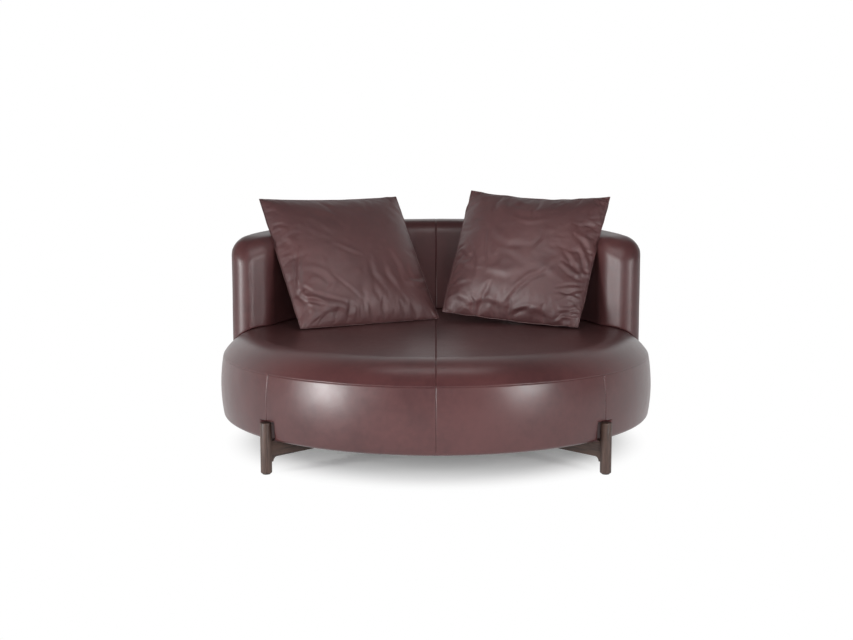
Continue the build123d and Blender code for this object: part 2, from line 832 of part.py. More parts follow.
def cushion_panel(size, inset, side):
    """Solid under one panel of a cushion, from the seam to the crown, drawn in by the inset."""
    corner = size / 2 - inset
    waist = corner - cushion_waist
    rise = side * (cushion_thickness / 2 - inset)
    with BuildPart() as panel:
        for level, corner_share, waist_share in zip(level_shares, corner_shares, waist_shares):
            with BuildSketch(Plane.XY.offset(level * rise)):
                add(cushion_outline(corner_share * corner, waist_share * waist))
        loft()
    return panel.part


def zip_form(size, growth):
    """Curved strip inside the lower seam of a cushion."""
    with BuildPart() as strip:
        with BuildSketch():
            for inset, mode in (
                (zip_inset - growth, Mode.ADD),
                (zip_inset + zip_width + growth, Mode.SUBTRACT),
            ):
                add(cushion_outline(size / 2 - inset, size / 2 - inset - cushion_waist), mode=mode)
            with Locations((0, -size / 2)):
                Rectangle(zip_length + 2 * growth, size / 2, mode=Mode.INTERSECT)
        extrude(amount=zip_thickness / 2 + growth, both=True)
    return strip.part


def cushion_plane(size, offset_x, angles):
    """Plane of a cushion's seam: local X along it, local Y up its face, turned in that face."""
    yaw, lean, roll = [radians(angle) for angle in angles]
    along = Vector(cos(yaw), sin(yaw), 0)
    upwards = Vector(-sin(yaw) * sin(lean), cos(yaw) * sin(lean), cos(lean))
    return Plane(
        origin=(offset_x, -seat_radius, seat_height + size / 2),
        x_dir=along * cos(roll) + upwards * sin(roll),
        z_dir=along.cross(upwards),
    )


def seat_clearance(x, y, z):
    """Height of a point above the seat's crown."""
    return z - dome_middle - sqrt(dome_radius**2 - x**2 - y**2)


def back_clearance(x, y, z):
    """Distance of a point from the back's inner face, its arms' front and its rounded top edge."""
    radius = hypot(x, y)
    if y < arm_front and y * arm_front_x < abs(x) * arm_front:
        gap = hypot(max(arm_front_x - abs(x), 0), arm_front - y)
        wall_y = arm_front
    else:
        gap = back_inner - radius
        wall_y = y * (back_inner + back_top_round) / radius
    above_edge = z - back_top_at(wall_y) + back_top_round
    if above_edge < 0:
        return gap
    return hypot(max(gap + back_top_round, 0), above_edge) - back_top_round


def settled(panels, plane):
    """Rest a cushion on the seat, slide it back until it leans on the back, and return its plane."""
    steps = [step / sample_steps for step in range(sample_steps + 1)]
    skins = [face for panel in panels for face in panel.faces().filter_by(GeomType.BSPLINE)]
    spots = [skin.position_at(u, v) for skin in skins for u in steps for v in steps]
    spots = [tuple(plane.from_local_coords(spot)) for spot in spots]
    shift_y = 0
    shift_z = 0
    for _ in range(settle_steps):
        low = min(seat_clearance(x, y + shift_y, z + shift_z) for x, y, z in spots)
        shift_z -= low - cushion_seat_gap
        near = min(back_clearance(x, y + shift_y, z + shift_z) for x, y, z in spots)
        shift_y += near - cushion_back_gap
    return Plane(
        origin=plane.origin + Vector(0, shift_y, shift_z), x_dir=plane.x_dir, z_dir=plane.z_dir
    )


# Loose cushions: two leather panels round a feather filling, with a zip inside the lower edge
filling_inset = cover_leather + skin_gap
cushions = (
    ("left", left_cushion_size, left_cushion_offset, left_cushion_angles),
    ("right", right_cushion_size, right_cushion_offset, right_cushion_angles),
)
for cushion_name, size, offset_x, angles in cushions:
    outsides = {side: cushion_panel(size, 0, side) for side in (1, -1)}
    seam_plane = settled(outsides.values(), cushion_plane(size, offset_x, angles))
    for panel_name, side in (("front", 1), ("back", -1)):
        with BuildPart(seam_plane) as cushion_cover:
            add(outsides[side])
            add(cushion_panel(size, cover_leather, side), mode=Mode.SUBTRACT)
        save(cushion_cover, f"cushion_{cushion_name}_cover_{panel_name}")
    with BuildPart(seam_plane) as cushion_filling:
        add(cushion_panel(size, filling_inset, 1))
        add(cushion_panel(size, filling_inset, -1))
        add(zip_form(size, skin_gap), mode=Mode.SUBTRACT)
    save(cushion_filling, f"cushion_{cushion_name}_filling")
    with BuildPart(seam_plane) as cushion_zip:
        add(zip_form(size, 0))
    save(cushion_zip, f"cushion_{cushion_name}_zip")
    print(cushion_name, "cushion's seam middle", seam_plane.origin)
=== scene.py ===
import logging
import math
from contextlib import contextmanager
from dataclasses import dataclass
from enum import Enum
from functools import cache
from typing import Callable, Iterable, Iterator, Sequence

import bpy
import numpy as np
from mathutils import Matrix, Vector, noise


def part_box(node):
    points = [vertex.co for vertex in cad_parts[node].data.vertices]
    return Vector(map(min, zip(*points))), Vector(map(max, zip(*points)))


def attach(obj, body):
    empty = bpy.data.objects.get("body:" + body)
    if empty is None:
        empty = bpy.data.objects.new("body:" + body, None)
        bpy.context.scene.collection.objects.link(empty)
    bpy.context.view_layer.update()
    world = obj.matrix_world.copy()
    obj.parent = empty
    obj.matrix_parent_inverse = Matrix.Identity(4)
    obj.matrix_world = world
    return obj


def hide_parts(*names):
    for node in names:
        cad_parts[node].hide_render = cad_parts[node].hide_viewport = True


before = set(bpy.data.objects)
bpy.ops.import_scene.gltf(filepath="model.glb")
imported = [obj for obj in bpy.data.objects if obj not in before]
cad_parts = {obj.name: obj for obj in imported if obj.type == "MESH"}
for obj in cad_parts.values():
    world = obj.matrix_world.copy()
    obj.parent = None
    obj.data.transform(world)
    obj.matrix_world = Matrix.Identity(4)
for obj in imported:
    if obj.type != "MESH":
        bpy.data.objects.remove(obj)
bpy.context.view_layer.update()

logging.basicConfig(level=logging.INFO, format="%(message)s")
log = logging.getLogger("sofa")

Point = tuple[float, float, float]
Colour = tuple[float, float, float, float]
Layers = tuple[tuple[float, float], ...]
Array = np.ndarray
Piece = bpy.types.Object
Socket = bpy.types.NodeSocket
NodeTree = bpy.types.NodeTree


class Axis(Enum):
    """Direction of a grain, as a turn about Z in degrees; None stands upright."""

    UPRIGHT = None
    ALONG_X = 0.0
    DIAGONAL = 45.0
    CROSS_DIAGONAL = 135.0


def linear(red: int, green: int, blue: int) -> Colour:
    """Linear colour with alpha of an 8-bit sRGB colour."""
    parts = [channel / 255 for channel in (red, green, blue)]
    curved = [p / 12.92 if p <= 0.04045 else ((p + 0.055) / 1.055) ** 2.4 for p in parts]
    return (*curved, 1.0)


class Tree:
    """Short way to write a node tree."""

    def __init__(self, tree: NodeTree) -> None:
        """Keep the tree that is being written."""
        self.tree = tree

    def fill(self, node: bpy.types.Node, inputs: dict) -> None:
        """Set or join a node's inputs, given by name or number."""
        for key, value in inputs.items():
            if isinstance(value, Socket):
                self.tree.links.new(value, node.inputs[key])
            else:
                node.inputs[key].default_value = value

    def node(self, kind: str, inputs: dict | None = None, **settings) -> bpy.types.Node:
        """Add a node.

        Args:
            kind: Class of the node, after the word ShaderNode.
            inputs: Values or output sockets for the node's inputs, by name or number.
            **settings: Properties of the node.

        Returns:
            The new node.
        """
        made = self.tree.nodes.new("ShaderNode" + kind)
        for name, value in settings.items():
            setattr(made, name, value)
        self.fill(made, inputs or {})
        return made

    def maths(self, operation: str, *values) -> Socket:
        """Add a Math node and return its output."""
        return self.node("Math", dict(enumerate(values)), operation=operation).outputs[0]

    def times(self, *values) -> Socket:
        """Product of two values."""
        return self.maths("MULTIPLY", *values)

    def weigh(self, *terms: tuple[Socket, float]) -> Socket:
        """Sum of sockets, each times its weight."""
        total = 0.0
        for socket, weight in terms:
            total = self.maths("MULTIPLY_ADD", socket, weight, total)
        return total

    def ramp(self, factor: Socket, low: float, high: float) -> Socket:
        """Smooth step of a factor, from 0 at low to 1 at high."""
        inputs = {"Value": factor, "From Min": low, "From Max": high}
        made = self.node("MapRange", inputs, interpolation_type="SMOOTHSTEP")
        return made.outputs["Result"]

    def noise(
        self, vector: Socket, scale: float | Socket, detail: float = 2.0, rough: float = 0.5
    ) -> Socket:
        """Factor of a Noise node on the vector."""
        inputs = {"Vector": vector, "Scale": scale, "Detail": detail, "Roughness": rough}
        return self.node("TexNoise", inputs).outputs["Fac"]


class Pattern(Tree):
    """Shared node group that takes a vector and some numbers, and gives a surface pattern."""

    def __init__(self, name: str, values: dict[str, float], results: Sequence[str]) -> None:
        """Make the group with its sockets.

        Args:
            name: Name of the group.
            values: Default of each number that it takes besides the vector.
            results: Names of the numbers that it gives.
        """
        super().__init__(bpy.data.node_groups.new(name, "ShaderNodeTree"))
        sockets = self.tree.interface
        sockets.new_socket("Vector", in_out="INPUT", socket_type="NodeSocketVector")
        for key, value in values.items():
            socket = sockets.new_socket(key, in_out="INPUT", socket_type="NodeSocketFloat")
            socket.default_value = value
        for key in results:
            sockets.new_socket(key, in_out="OUTPUT", socket_type="NodeSocketFloat")
        self.given = self.tree.nodes.new("NodeGroupInput").outputs
        self.end = self.tree.nodes.new("NodeGroupOutput")

    def give(self, **results: Socket) -> NodeTree:
        """Join the results to the group's outputs and return the group."""
        self.fill(self.end, results)
        return self.tree


@cache
def leather_grain() -> NodeTree:
    """Grain, pores and soft wrinkles of leather."""
    values = {"Grain Scale": 620.0, "Crease": 1.0}
    group = Pattern("leather_grain", values, ("Height", "Tone", "Gloss"))
    vector = group.given["Vector"]
    grain = {"Vector": vector, "Scale": group.given["Grain Scale"]}
    cells = group.node("TexVoronoi", grain, feature="SMOOTH_F1")
    pebbles = group.maths("SUBTRACT", 1.0, cells.outputs["Distance"])
    pores = group.ramp(group.noise(vector, 1500.0, 1.0), 0.30, 0.42)
    folds = group.maths("SUBTRACT", group.noise(vector, 38.0, 3.0, 0.6), 0.5)
    ridges = group.ramp(group.maths("ABSOLUTE", folds), 0.0, 0.06)
    wrinkles = group.times(ridges, group.given["Crease"])
    broad = group.noise(vector, 3.2, 4.0, 0.55)
    small = group.noise(vector, 42.0, 3.0, 0.6)
    return group.give(
        Height=group.weigh((pebbles, 0.35), (pores, 0.15), (wrinkles, 0.55)),
        Tone=group.ramp(group.weigh((broad, 0.7), (small, 0.3)), 0.30, 0.70),
        Gloss=group.ramp(group.weigh((small, 0.5), (pebbles, 0.5)), 0.25, 0.8),
    )


@cache
def wood_grain() -> NodeTree:
    """Long fibres and open pores of stained wood along local Z."""
    group = Pattern("wood_grain", {"Fibre": 150.0}, ("Height", "Tone"))
    squeezed = {"Vector": group.given["Vector"], "Scale": (1.0, 1.0, 0.055)}
    vector = group.node("Mapping", squeezed).outputs[0]
    fibres = group.noise(vector, 420.0, 4.0, 0.65)
    bands = group.noise(vector, 85.0, 3.0, 0.55)
    pores = group.ramp(group.noise(vector, group.given["Fibre"], 1.0), 0.58, 0.70)
    tone = group.ramp(group.weigh((fibres, 0.45), (bands, 0.55)), 0.32, 0.68)
    return group.give(
        Height=group.weigh((fibres, 0.5), (pores, -1.0)),
        Tone=group.weigh((tone, 1.0), (pores, -0.35)),
    )


@cache
def weave() -> NodeTree:
    """Plain weave of threads along local X and Y."""
    group = Pattern("weave", {"Threads": 2200.0}, ("Height", "Tone"))
    vector = group.given["Vector"]
    split = group.node("SeparateXYZ", {"Vector": vector}).outputs
    rows, columns = (
        group.maths("SINE", group.times(split[axis], group.given["Threads"])) for axis in (0, 1)
    )
    height = group.maths("MULTIPLY_ADD", group.times(rows, columns), 0.5, 0.5)
    worn = group.noise(vector, 25.0, 3.0, 0.6)
    tone = group.ramp(group.weigh((height, 0.4), (worn, 0.6)), 0.2, 0.8)
    return group.give(Height=height, Tone=tone)


@cache
def wear() -> NodeTree:
    """Faint uneven film, for metal and plastic."""
    group = Pattern("wear", {"Size": 60.0}, ("Height", "Tone"))
    vector = group.given["Vector"]
    film = group.ramp(group.noise(vector, group.given["Size"], 4.0), 0.3, 0.7)
    return group.give(Height=group.noise(vector, 900.0, 2.0), Tone=film)


@dataclass(frozen=True)
class Finish:
    """A material made of one shared pattern that drives colour, roughness and relief."""

    name: str
    pattern: Callable[[], NodeTree]
    dark: Colour
    light: Colour
    rough_low: float
    rough_high: float
    relief: float
    relief_depth: float = 0.001
    metallic: float = 0.0
    specular: float = 0.5
    turn: Axis = Axis.UPRIGHT
    values: tuple[tuple[str, float], ...] = ()

    def make(self) -> bpy.types.Material:
        """Build the material, or give it back if it was built before.

        Returns:
            The material.
        """
        known = bpy.data.materials.get(self.name)
        if known:
            return known
        material = bpy.data.materials.new(self.name)
        material.use_nodes = True
        material.diffuse_color = self.light
        tree = Tree(material.node_tree)
        shader = next(node for node in tree.tree.nodes if node.type == "BSDF_PRINCIPLED")
        place = tree.node("TexCoord").outputs["Object"]
        if self.turn.value is not None:
            angles = (0.0, math.radians(90), math.radians(self.turn.value))
            turned = {"Vector": place, "Rotation": angles}
            place = tree.node("Mapping", turned, vector_type="TEXTURE").outputs[0]
        inputs = {"Vector": place, **dict(self.values)}
        made = tree.node("Group", node_tree=self.pattern())
        tree.fill(made, inputs)
        tone = made.outputs["Tone"]
        gloss = made.outputs.get("Gloss") or tone
        colour = {0: tone, 6: self.dark, 7: self.light}
        spread = {"Value": gloss, "To Min": self.rough_low, "To Max": self.rough_high}
        relief = {
            "Height": made.outputs["Height"],
            "Strength": self.relief,
            "Distance": self.relief_depth,
        }
        tree.fill(shader, {
            "Base Color": tree.node("Mix", colour, data_type="RGBA").outputs[2],
            "Roughness": tree.node("MapRange", spread).outputs["Result"],
            "Normal": tree.node("Bump", relief).outputs["Normal"],
            "Metallic": self.metallic,
            "Specular IOR Level": self.specular,
        })
        return material


LEATHER_TONES = (linear(65, 37, 38), linear(82, 48, 48))
SEAT_LEATHER = Finish(
    "seat_leather", leather_grain, *LEATHER_TONES, 0.29, 0.37, 0.16, 0.0006,
    specular=0.55, values=(("Crease", 0.25),),
)
BACK_LEATHER = Finish(
    "back_leather", leather_grain, *LEATHER_TONES, 0.37, 0.45, 0.18, 0.0006,
    specular=0.65, values=(("Crease", 0.35),),
)
CUSHION_LEATHER = Finish(
    "cushion_soft_leather", leather_grain, linear(67, 39, 40), linear(85, 51, 51),
    0.50, 0.60, 0.20, 0.0007,
    specular=0.9, values=(("Crease", 0.7), ("Grain Scale", 520.0)),
)
DARK_WOOD = (wood_grain, linear(46, 33, 29), linear(86, 66, 58), 0.42, 0.58, 0.35, 0.0005)
WOOD_UPRIGHT = Finish("dark_wood_upright", *DARK_WOOD)
WOOD_DIAGONAL = Finish("dark_wood_diagonal", *DARK_WOOD, turn=Axis.DIAGONAL)
WOOD_CROSS = Finish("dark_wood_cross", *DARK_WOOD, turn=Axis.CROSS_DIAGONAL)
PLYWOOD = Finish(
    "birch_plywood", wood_grain, linear(168, 132, 92), linear(205, 172, 128),
    0.5, 0.7, 0.2, 0.0004, turn=Axis.ALONG_X,
)
STEEL = Finish(
    "zinc_plated_steel", wear, linear(120, 121, 122), linear(168, 169, 170),
    0.28, 0.45, 0.08, 0.0002, metallic=1.0,
)
GLIDE_NYLON = Finish("glide_nylon", wear, linear(20, 19, 18), linear(34, 31, 30), 0.45, 0.6, 0.15)
SPACER_RUBBER = Finish(
    "spacer_rubber", wear, linear(22, 22, 23), linear(36, 36, 37), 0.6, 0.8, 0.1
)
WEBBING = Finish("elastic_webbing", weave, linear(30, 29, 30), linear(64, 60, 60), 0.7, 0.85, 0.4)
DUST_CLOTH = Finish("dust_cloth", weave, linear(20, 20, 21), linear(36, 35, 36), 0.8, 0.95, 0.3)


def mesh_object(name: str, points: Array, faces: Iterable[Sequence[int]]) -> Piece:
    """Make an object from points and faces, with its place in its mesh.

    Args:
        name: Name of the piece.
        points: One row of X, Y, Z per point, in metres.
        faces: Point numbers of each face.

    Returns:
        The new object, linked to the scene.
    """
    mesh = bpy.data.meshes.new(name)
    mesh.from_pydata(points.tolist(), [], [[int(k) for k in face] for face in faces])
    mesh.validate()
    piece = bpy.data.objects.new(name, mesh)
    bpy.context.collection.objects.link(piece)
    return piece


def choose(piece: Piece) -> None:
    """Make a piece the only one that is selected, and the active one."""
    bpy.ops.object.select_all(action="DESELECT")
    piece.select_set(True)
    bpy.context.view_layer.objects.active = piece


@contextmanager
def editing(piece: Piece) -> Iterator[None]:
    """Hold a piece in edit mode, with all of its mesh selected at first."""
    choose(piece)
    bpy.ops.object.mode_set(mode="EDIT")
    bpy.ops.mesh.select_all(action="SELECT")
    yield
    bpy.ops.object.mode_set(mode="OBJECT")


def apply_modifier(piece: Piece, kind: str, **settings) -> None:
    """Add a modifier with its settings and apply it."""
    modifier = piece.modifiers.new(kind.lower(), kind)
    for name, value in settings.items():
        setattr(modifier, name, value)
    choose(piece)
    bpy.ops.object.modifier_apply(modifier=modifier.name)


def smooth(piece: Piece, angle: float = 180.0) -> None:
    """Shade a piece smooth, with sharp edges past an angle in degrees."""
    choose(piece)
    if angle >= 180:
        bpy.ops.object.shade_smooth()
    else:
        bpy.ops.object.shade_smooth_by_angle(angle=math.radians(angle))


def shell(piece: Piece, thickness: float, outward: Callable[[Array], Array]) -> Piece:
    """Turn an open panel into a closed shell of leather.

    Args:
        piece: The panel, as its outer face.
        thickness: Thickness of the leather, laid inwards.
        outward: Gives the outward direction at each place of an array.

    Returns:
        The same piece.
    """
    with editing(piece):
        bpy.ops.mesh.delete_loose()
    with editing(piece):
        bpy.ops.mesh.remove_doubles(threshold=0.00005)
        bpy.ops.mesh.normals_make_consistent(inside=False)
    faces = piece.data.polygons
    directions = outward(np.array([face.center for face in faces]))
    turns = (directions * np.array([face.normal for face in faces])).sum(axis=1)
    if turns @ np.array([face.area for face in faces]) < 0:
        with editing(piece):
            bpy.ops.mesh.flip_normals()
    apply_modifier(piece, "SOLIDIFY", thickness=thickness, offset=-1.0)
    smooth(piece, 50)
    return piece


def dress(piece: Piece, finish: Finish, body: str) -> Piece:
    """Give a piece its material in its one slot, attach it to its body, and report it."""
    piece.data.materials.clear()
    piece.data.materials.append(finish.make())
    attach(piece, body)
    log.info("%s: %d faces, %s", piece.name, len(piece.data.polygons), finish.name)
    return piece


def roll(distance: Array, width: float, depth: float) -> Array:
    """Depth that leather turns in near a seam, from the distance to it."""
    share = np.clip(1 - distance / width, 0, 1)
    return depth * (1 - np.sqrt(1 - share**2))


def waves(points: Array, *layers: tuple[float, float]) -> Array:
    """Slow unevenness of leather over padding, from layers of a noise scale and a depth."""
    return np.array([
        sum(depth * noise.noise(Vector(point) * scale) for scale, depth in layers)
        for point in points
    ])


def run_lengths(points: Array) -> Array:
    """Length of the way from the first point to each point."""
    return np.concatenate([[0], np.cumsum(np.linalg.norm(np.diff(points, axis=0), axis=1))])


def spaced(
    start: float, end: float, step: float, near_start: Sequence[float], near_end: Sequence[float]
) -> Array:
    """Places from start to end, close together near both ends and evenly spaced between.

    Args:
        start: First place.
        end: Last place.
        step: Rough distance between the even places.
        near_start: Offsets of the places near the start, rising.
        near_end: Offsets of the places near the end, rising.

    Returns:
        The places, rising.
    """
    low = start + np.array(near_start)
    high = end - np.array(near_end)[::-1]
    count = max(1, round((high[0] - low[-1]) / step))
    between = np.linspace(low[-1], high[0], count + 1)[1:-1]
    return np.array([start, *low, *between, *high, end])


def turned(radius: Array, height: Array | float, turn: Array) -> Array:
    """Points at radii, heights and turns about the seat's axis, row by row."""
    spots = np.broadcast_arrays(radius * np.cos(turn), radius * np.sin(turn), height)
    return np.stack(spots, axis=-1).reshape(-1, 3)


@dataclass
class SeatShape:
    """Outside of the round seat, in metres."""

    radius: float = 0.840
    top: float = float(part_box("seat_cover_left")[1][2])
    seam_height: float = float(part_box("seat_cover_left")[0][2])
    underside: float = float(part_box("band_left")[0][2])
    seam_inset: float = 0.011
    crown_inset: float = 0.150
    crown_drop: float = 0.008
    corner_radius: float = 0.016
    underside_wrap: float = 0.056

    def __post_init__(self) -> None:
        """Work out the arcs of the section."""
        self.seam_radius = self.radius - self.seam_inset
        self.crown_radius = self.radius - self.crown_inset
        self.crown_height = self.top - self.crown_drop
        self.dome_radius = (self.crown_radius**2 + self.crown_drop**2) / (2 * self.crown_drop)
        self.dome_middle = self.top - self.dome_radius
        slope_x = self.crown_radius / self.dome_radius
        slope_z = (self.dome_radius - self.crown_drop) / self.dome_radius
        run = self.seam_radius - self.crown_radius
        fall = self.crown_height - self.seam_height
        self.rim_radius = (run**2 + fall**2) / (2 * (fall * slope_z - run * slope_x))
        self.rim_x = self.crown_radius - self.rim_radius * slope_x
        self.rim_z = self.crown_height - self.rim_radius * slope_z
        half = (self.seam_height - self.underside) / 2
        self.belly_height = self.underside + half
        self.belly_radius = (half**2 + self.seam_inset**2) / (2 * self.seam_inset)
        self.belly_x = self.radius - self.belly_radius

    def surface_z(self, radius: Array) -> Array:
        """Height of the seat's top surface at a radius."""
        dome = self.dome_middle + np.sqrt(self.dome_radius**2 - radius**2)
        reach = np.clip(self.rim_radius**2 - (radius - self.rim_x) ** 2, 0, None)
        return np.where(radius < self.crown_radius, dome, self.rim_z + np.sqrt(reach))

    def side_x(self, height: Array) -> Array:
        """Radius of the band at a height."""
        return self.belly_x + np.sqrt(self.belly_radius**2 - (height - self.belly_height) ** 2)

    def lower_edge(self, steps: int) -> Array:
        """Radius and height along the band's rounded lower edge, from the side inwards."""
        centre_z = self.underside + self.corner_radius
        rise = centre_z - self.belly_height
        reach = math.sqrt((self.belly_radius - self.corner_radius) ** 2 - rise**2)
        turns = np.linspace(math.atan2(rise, reach), -math.pi / 2, steps + 1)
        arc = self.corner_radius * np.column_stack([np.cos(turns), np.sin(turns)])
        return arc + (self.belly_x + reach, centre_z)


SEAM_NEAR = (0.0005, 0.0012, 0.0022, 0.0036, 0.0055, 0.0085)


@dataclass
class SeatUpholstery:
    """Leather of the seat: two halves on top and six band panels, each of real thickness."""

    shape: SeatShape
    thickness: float = 0.0024
    seam_width: float = 0.0042
    seam_depth: float = 0.0032
    rim_depth: float = 0.0048
    flat_radius: float = 0.08
    flat_rows: int = 35
    rim_step: float = 0.006
    rim_calm: float = 0.4
    gather_reach: float = 0.03
    gather_depth: float = 0.00012
    gather_rates: tuple[float, float] = (150.0, 61.0)
    top_waves: Layers = ((5.5, 0.0012), (17.0, 0.00042))
    top_drop: float = 0.0009
    band_waves: Layers = ((5.5, 0.0011), (17.0, 0.000385))
    band_drop: float = 0.0007
    ripple_reach: float = 0.012
    ripple_depth: float = 0.0002
    ripple_rate: float = 900.0
    recess_radius: float = 0.038
    recess_top: float = 0.188
    recess_roll: float = 0.005
    recess_depth: float = 0.0045
    edge_depth: float = 0.0028
    recess_edge: float = 0.838
    recess_shelf: float = 0.055
    row_gap: float = 0.012
    leg_circle: float = 0.842
    step: float = 0.014
    turn_step: float = 1.6
    band_rows: int = 12
    recess_steps: int = 5
    edge_steps: int = 7
    floor_steps: int = 4
    legs: tuple[float, ...] = (-45.0, 45.0, 135.0, 225.0)
    centre_near: tuple[float, ...] = (0.0, 0.006, 0.02, 0.045)
    middle_near: tuple[float, ...] = (0.04, 0.1, 0.2, 0.36, 0.6, 0.95, 1.5, 2.4, 3.8)
    recess_shares: tuple[float, ...] = (0.42, 0.62, 0.80, 0.92, 0.98)
    recess_near: tuple[float, ...] = (0.0, 0.0008, 0.002, 0.0035, 0.0055, 0.009, 0.015)
    recess_rows: tuple[float, ...] = (0.0075, 0.005, 0.003, 0.0016, 0.0006, 0.0)

    def outward(self, places: Array) -> Array:
        """Directions away from the seat's middle."""
        return places - (0, 0, self.shape.belly_height)

    def top_half(self, side: str, first: float) -> Piece:
        """Build one half of the top, from the seam down its middle to the seam round its rim.

        Args:
            side: Name of the half.
            first: Angle at which the half starts, in degrees.

        Returns:
            The finished piece.
        """
        shape = self.shape
        near = self.middle_near
        angles = np.radians(spaced(first, first + 180, self.turn_step, near, near))
        flat = np.linspace(self.flat_radius, shape.crown_radius, self.flat_rows)
        flat = np.array((*self.centre_near, *flat))
        start, end = (
            math.asin(min(1.0, (radius - shape.rim_x) / shape.rim_radius))
            for radius in (shape.crown_radius, shape.seam_radius)
        )
        arc = shape.rim_radius * (end - start)
        even = np.linspace(0, 1, round(arc / self.rim_step) + 1)[1:]
        shares = np.union1d(even, 1 - np.array(SEAM_NEAR) / arc)
        turn = start + (end - start) * shares
        dome = (
            flat, shape.surface_z(flat), flat / shape.dome_radius,
            np.ones_like(flat), np.full_like(flat, np.inf),
        )
        rim = (
            shape.rim_x + shape.rim_radius * np.sin(turn),
            shape.rim_z + shape.rim_radius * np.cos(turn),
            np.sin(turn), np.cos(turn), (1 - shares) * arc,
        )
        radius, height, out, up, to_rim = np.hstack([dome, rim])[..., None]
        depth = roll(np.abs(radius * np.cos(angles)), self.seam_width, self.seam_depth)
        depth = depth + roll(to_rim, self.seam_width, self.rim_depth)
        close, wide = self.gather_rates
        gather = np.sin(close * angles) + 0.6 * np.sin(wide * angles)
        fading = np.clip(1 - to_rim / self.gather_reach, 0, 1)
        depth = depth + self.gather_depth * gather * fading
        limit = np.where(to_rim < self.seam_width, self.rim_depth, self.seam_depth)
        depth = np.minimum(depth, limit)
        points = turned(radius - depth * out, height - depth * up, angles)
        swell = np.where(to_rim < arc, self.rim_calm, 1.0) * np.ones_like(depth)
        points[:, 2] += waves(points, *self.top_waves) * swell.ravel() - self.top_drop
        rows, columns = depth.shape
        corners = [row * columns + k for row in range(rows - 1) for k in range(columns - 1)]
        faces = [(a + columns, a + columns + 1, a + 1, a) for a in corners]
        piece = mesh_object(f"seat_top_{side}", points, faces)
        return shell(piece, self.thickness, self.outward)

    def leg_offset(self, angles: Array) -> Array:
        """Smallest turn from each angle to a leg, in degrees."""
        turns = (np.asarray(angles)[..., None] - self.legs + 180) % 360 - 180
        return np.abs(turns).min(axis=-1)

    def recess_face(self, offset: Array) -> Array:
        """Radius of the recess's inner wall at a turn from its leg, in degrees."""
        turn = np.radians(offset)
        across = self.recess_radius**2 - (self.leg_circle * np.sin(turn)) ** 2
        return self.leg_circle * np.cos(turn) - np.sqrt(np.clip(across, 0, None))

    def band_panel(self, name: str, first: float, last: float) -> Piece:
        """Build one panel of the band, with its share of the recesses over the legs.

        Args:
            name: Name of the piece.
            first: Angle of its first seam, in degrees.
            last: Angle of its last seam, in degrees.

        Returns:
            The finished piece.
        """
        shape = self.shape
        degrees = math.degrees(1 / shape.radius)
        squares = self.recess_edge**2 + self.leg_circle**2 - self.recess_radius**2
        edge_turn = math.degrees(math.acos(squares / (2 * self.recess_edge * self.leg_circle)))
        seam_near = [distance * degrees for distance in SEAM_NEAR]
        leg_near = seam_near + [edge_turn * share for share in self.recess_shares]
        leg_near += [edge_turn + distance * degrees for distance in self.recess_near]
        ends = [leg_near if self.leg_offset(end) < 0.01 else seam_near for end in (first, last)]
        angles = spaced(first, last, self.step * degrees, *ends)
        offset = self.leg_offset(angles)
        hole = offset < edge_turn - 1e-6
        to_seam = (np.minimum(angles - first, last - angles) / degrees)[:, None]
        beyond = (np.maximum(offset - edge_turn, 0) / degrees)[:, None]

        seam_rows = shape.seam_height - np.array((0.0, *SEAM_NEAR))
        even_end = self.recess_top + self.row_gap
        even_rows = np.linspace(seam_rows[-1], even_end, self.band_rows + 1)[1:]
        close_rows = self.recess_top + np.array(self.recess_rows)
        upper = np.concatenate([seam_rows, even_rows, close_rows])
        edge = shape.lower_edge(self.edge_steps)
        low = edge[-1, 1]
        lower = np.linspace(self.recess_top, edge[0, 1], self.recess_steps + 1)[1:-1]
        tall = np.concatenate([upper, lower])
        floor_end = shape.radius - shape.underside_wrap
        floor = np.linspace(edge[-1, 0], floor_end, self.floor_steps + 1)[1:]

        to_recess = np.hypot(beyond, np.maximum(tall - self.recess_top, 0))
        depth = roll(shape.seam_height - tall, self.seam_width, self.rim_depth)
        depth = depth + roll(to_seam, self.seam_width, self.seam_depth)
        depth = depth + roll(to_recess, self.recess_roll, self.recess_depth)
        fading = np.clip(1 - to_seam / self.ripple_reach, 0, 1)
        depth = depth + self.ripple_depth * np.sin(self.ripple_rate * tall) * fading
        side = shape.side_x(tall) - np.minimum(depth, self.recess_roll)
        rolled = edge[:, 0] - roll(beyond, self.recess_roll, self.edge_depth)
        radius = np.hstack([side, rolled, np.tile(floor, (len(angles), 1))])
        height = np.tile([*tall, *edge[:, 1], *np.full(len(floor), low)], (len(angles), 1))

        below = len(upper)
        wall = self.recess_face(offset[hole])[:, None]
        shelf = np.linspace(0, 1, len(edge) + len(floor))[1:]
        start = np.minimum(wall, floor_end + self.recess_shelf)
        radius[hole, below:] = np.hstack(
            [np.repeat(wall, self.recess_steps, axis=1), start + (floor_end - start) * shelf]
        )
        height[hole, below:] = low
        upright = np.linspace(self.recess_top, low, self.recess_steps + 1)[1:-1]
        height[hole, below:len(tall)] = upright
        turn = np.radians(angles)
        points = turned(radius, height, turn[:, None])
        roof = {int(column): len(points) + k for k, column in enumerate(np.flatnonzero(hole))}
        points = np.concatenate([points, turned(wall[:, 0], self.recess_top, turn[hole])])

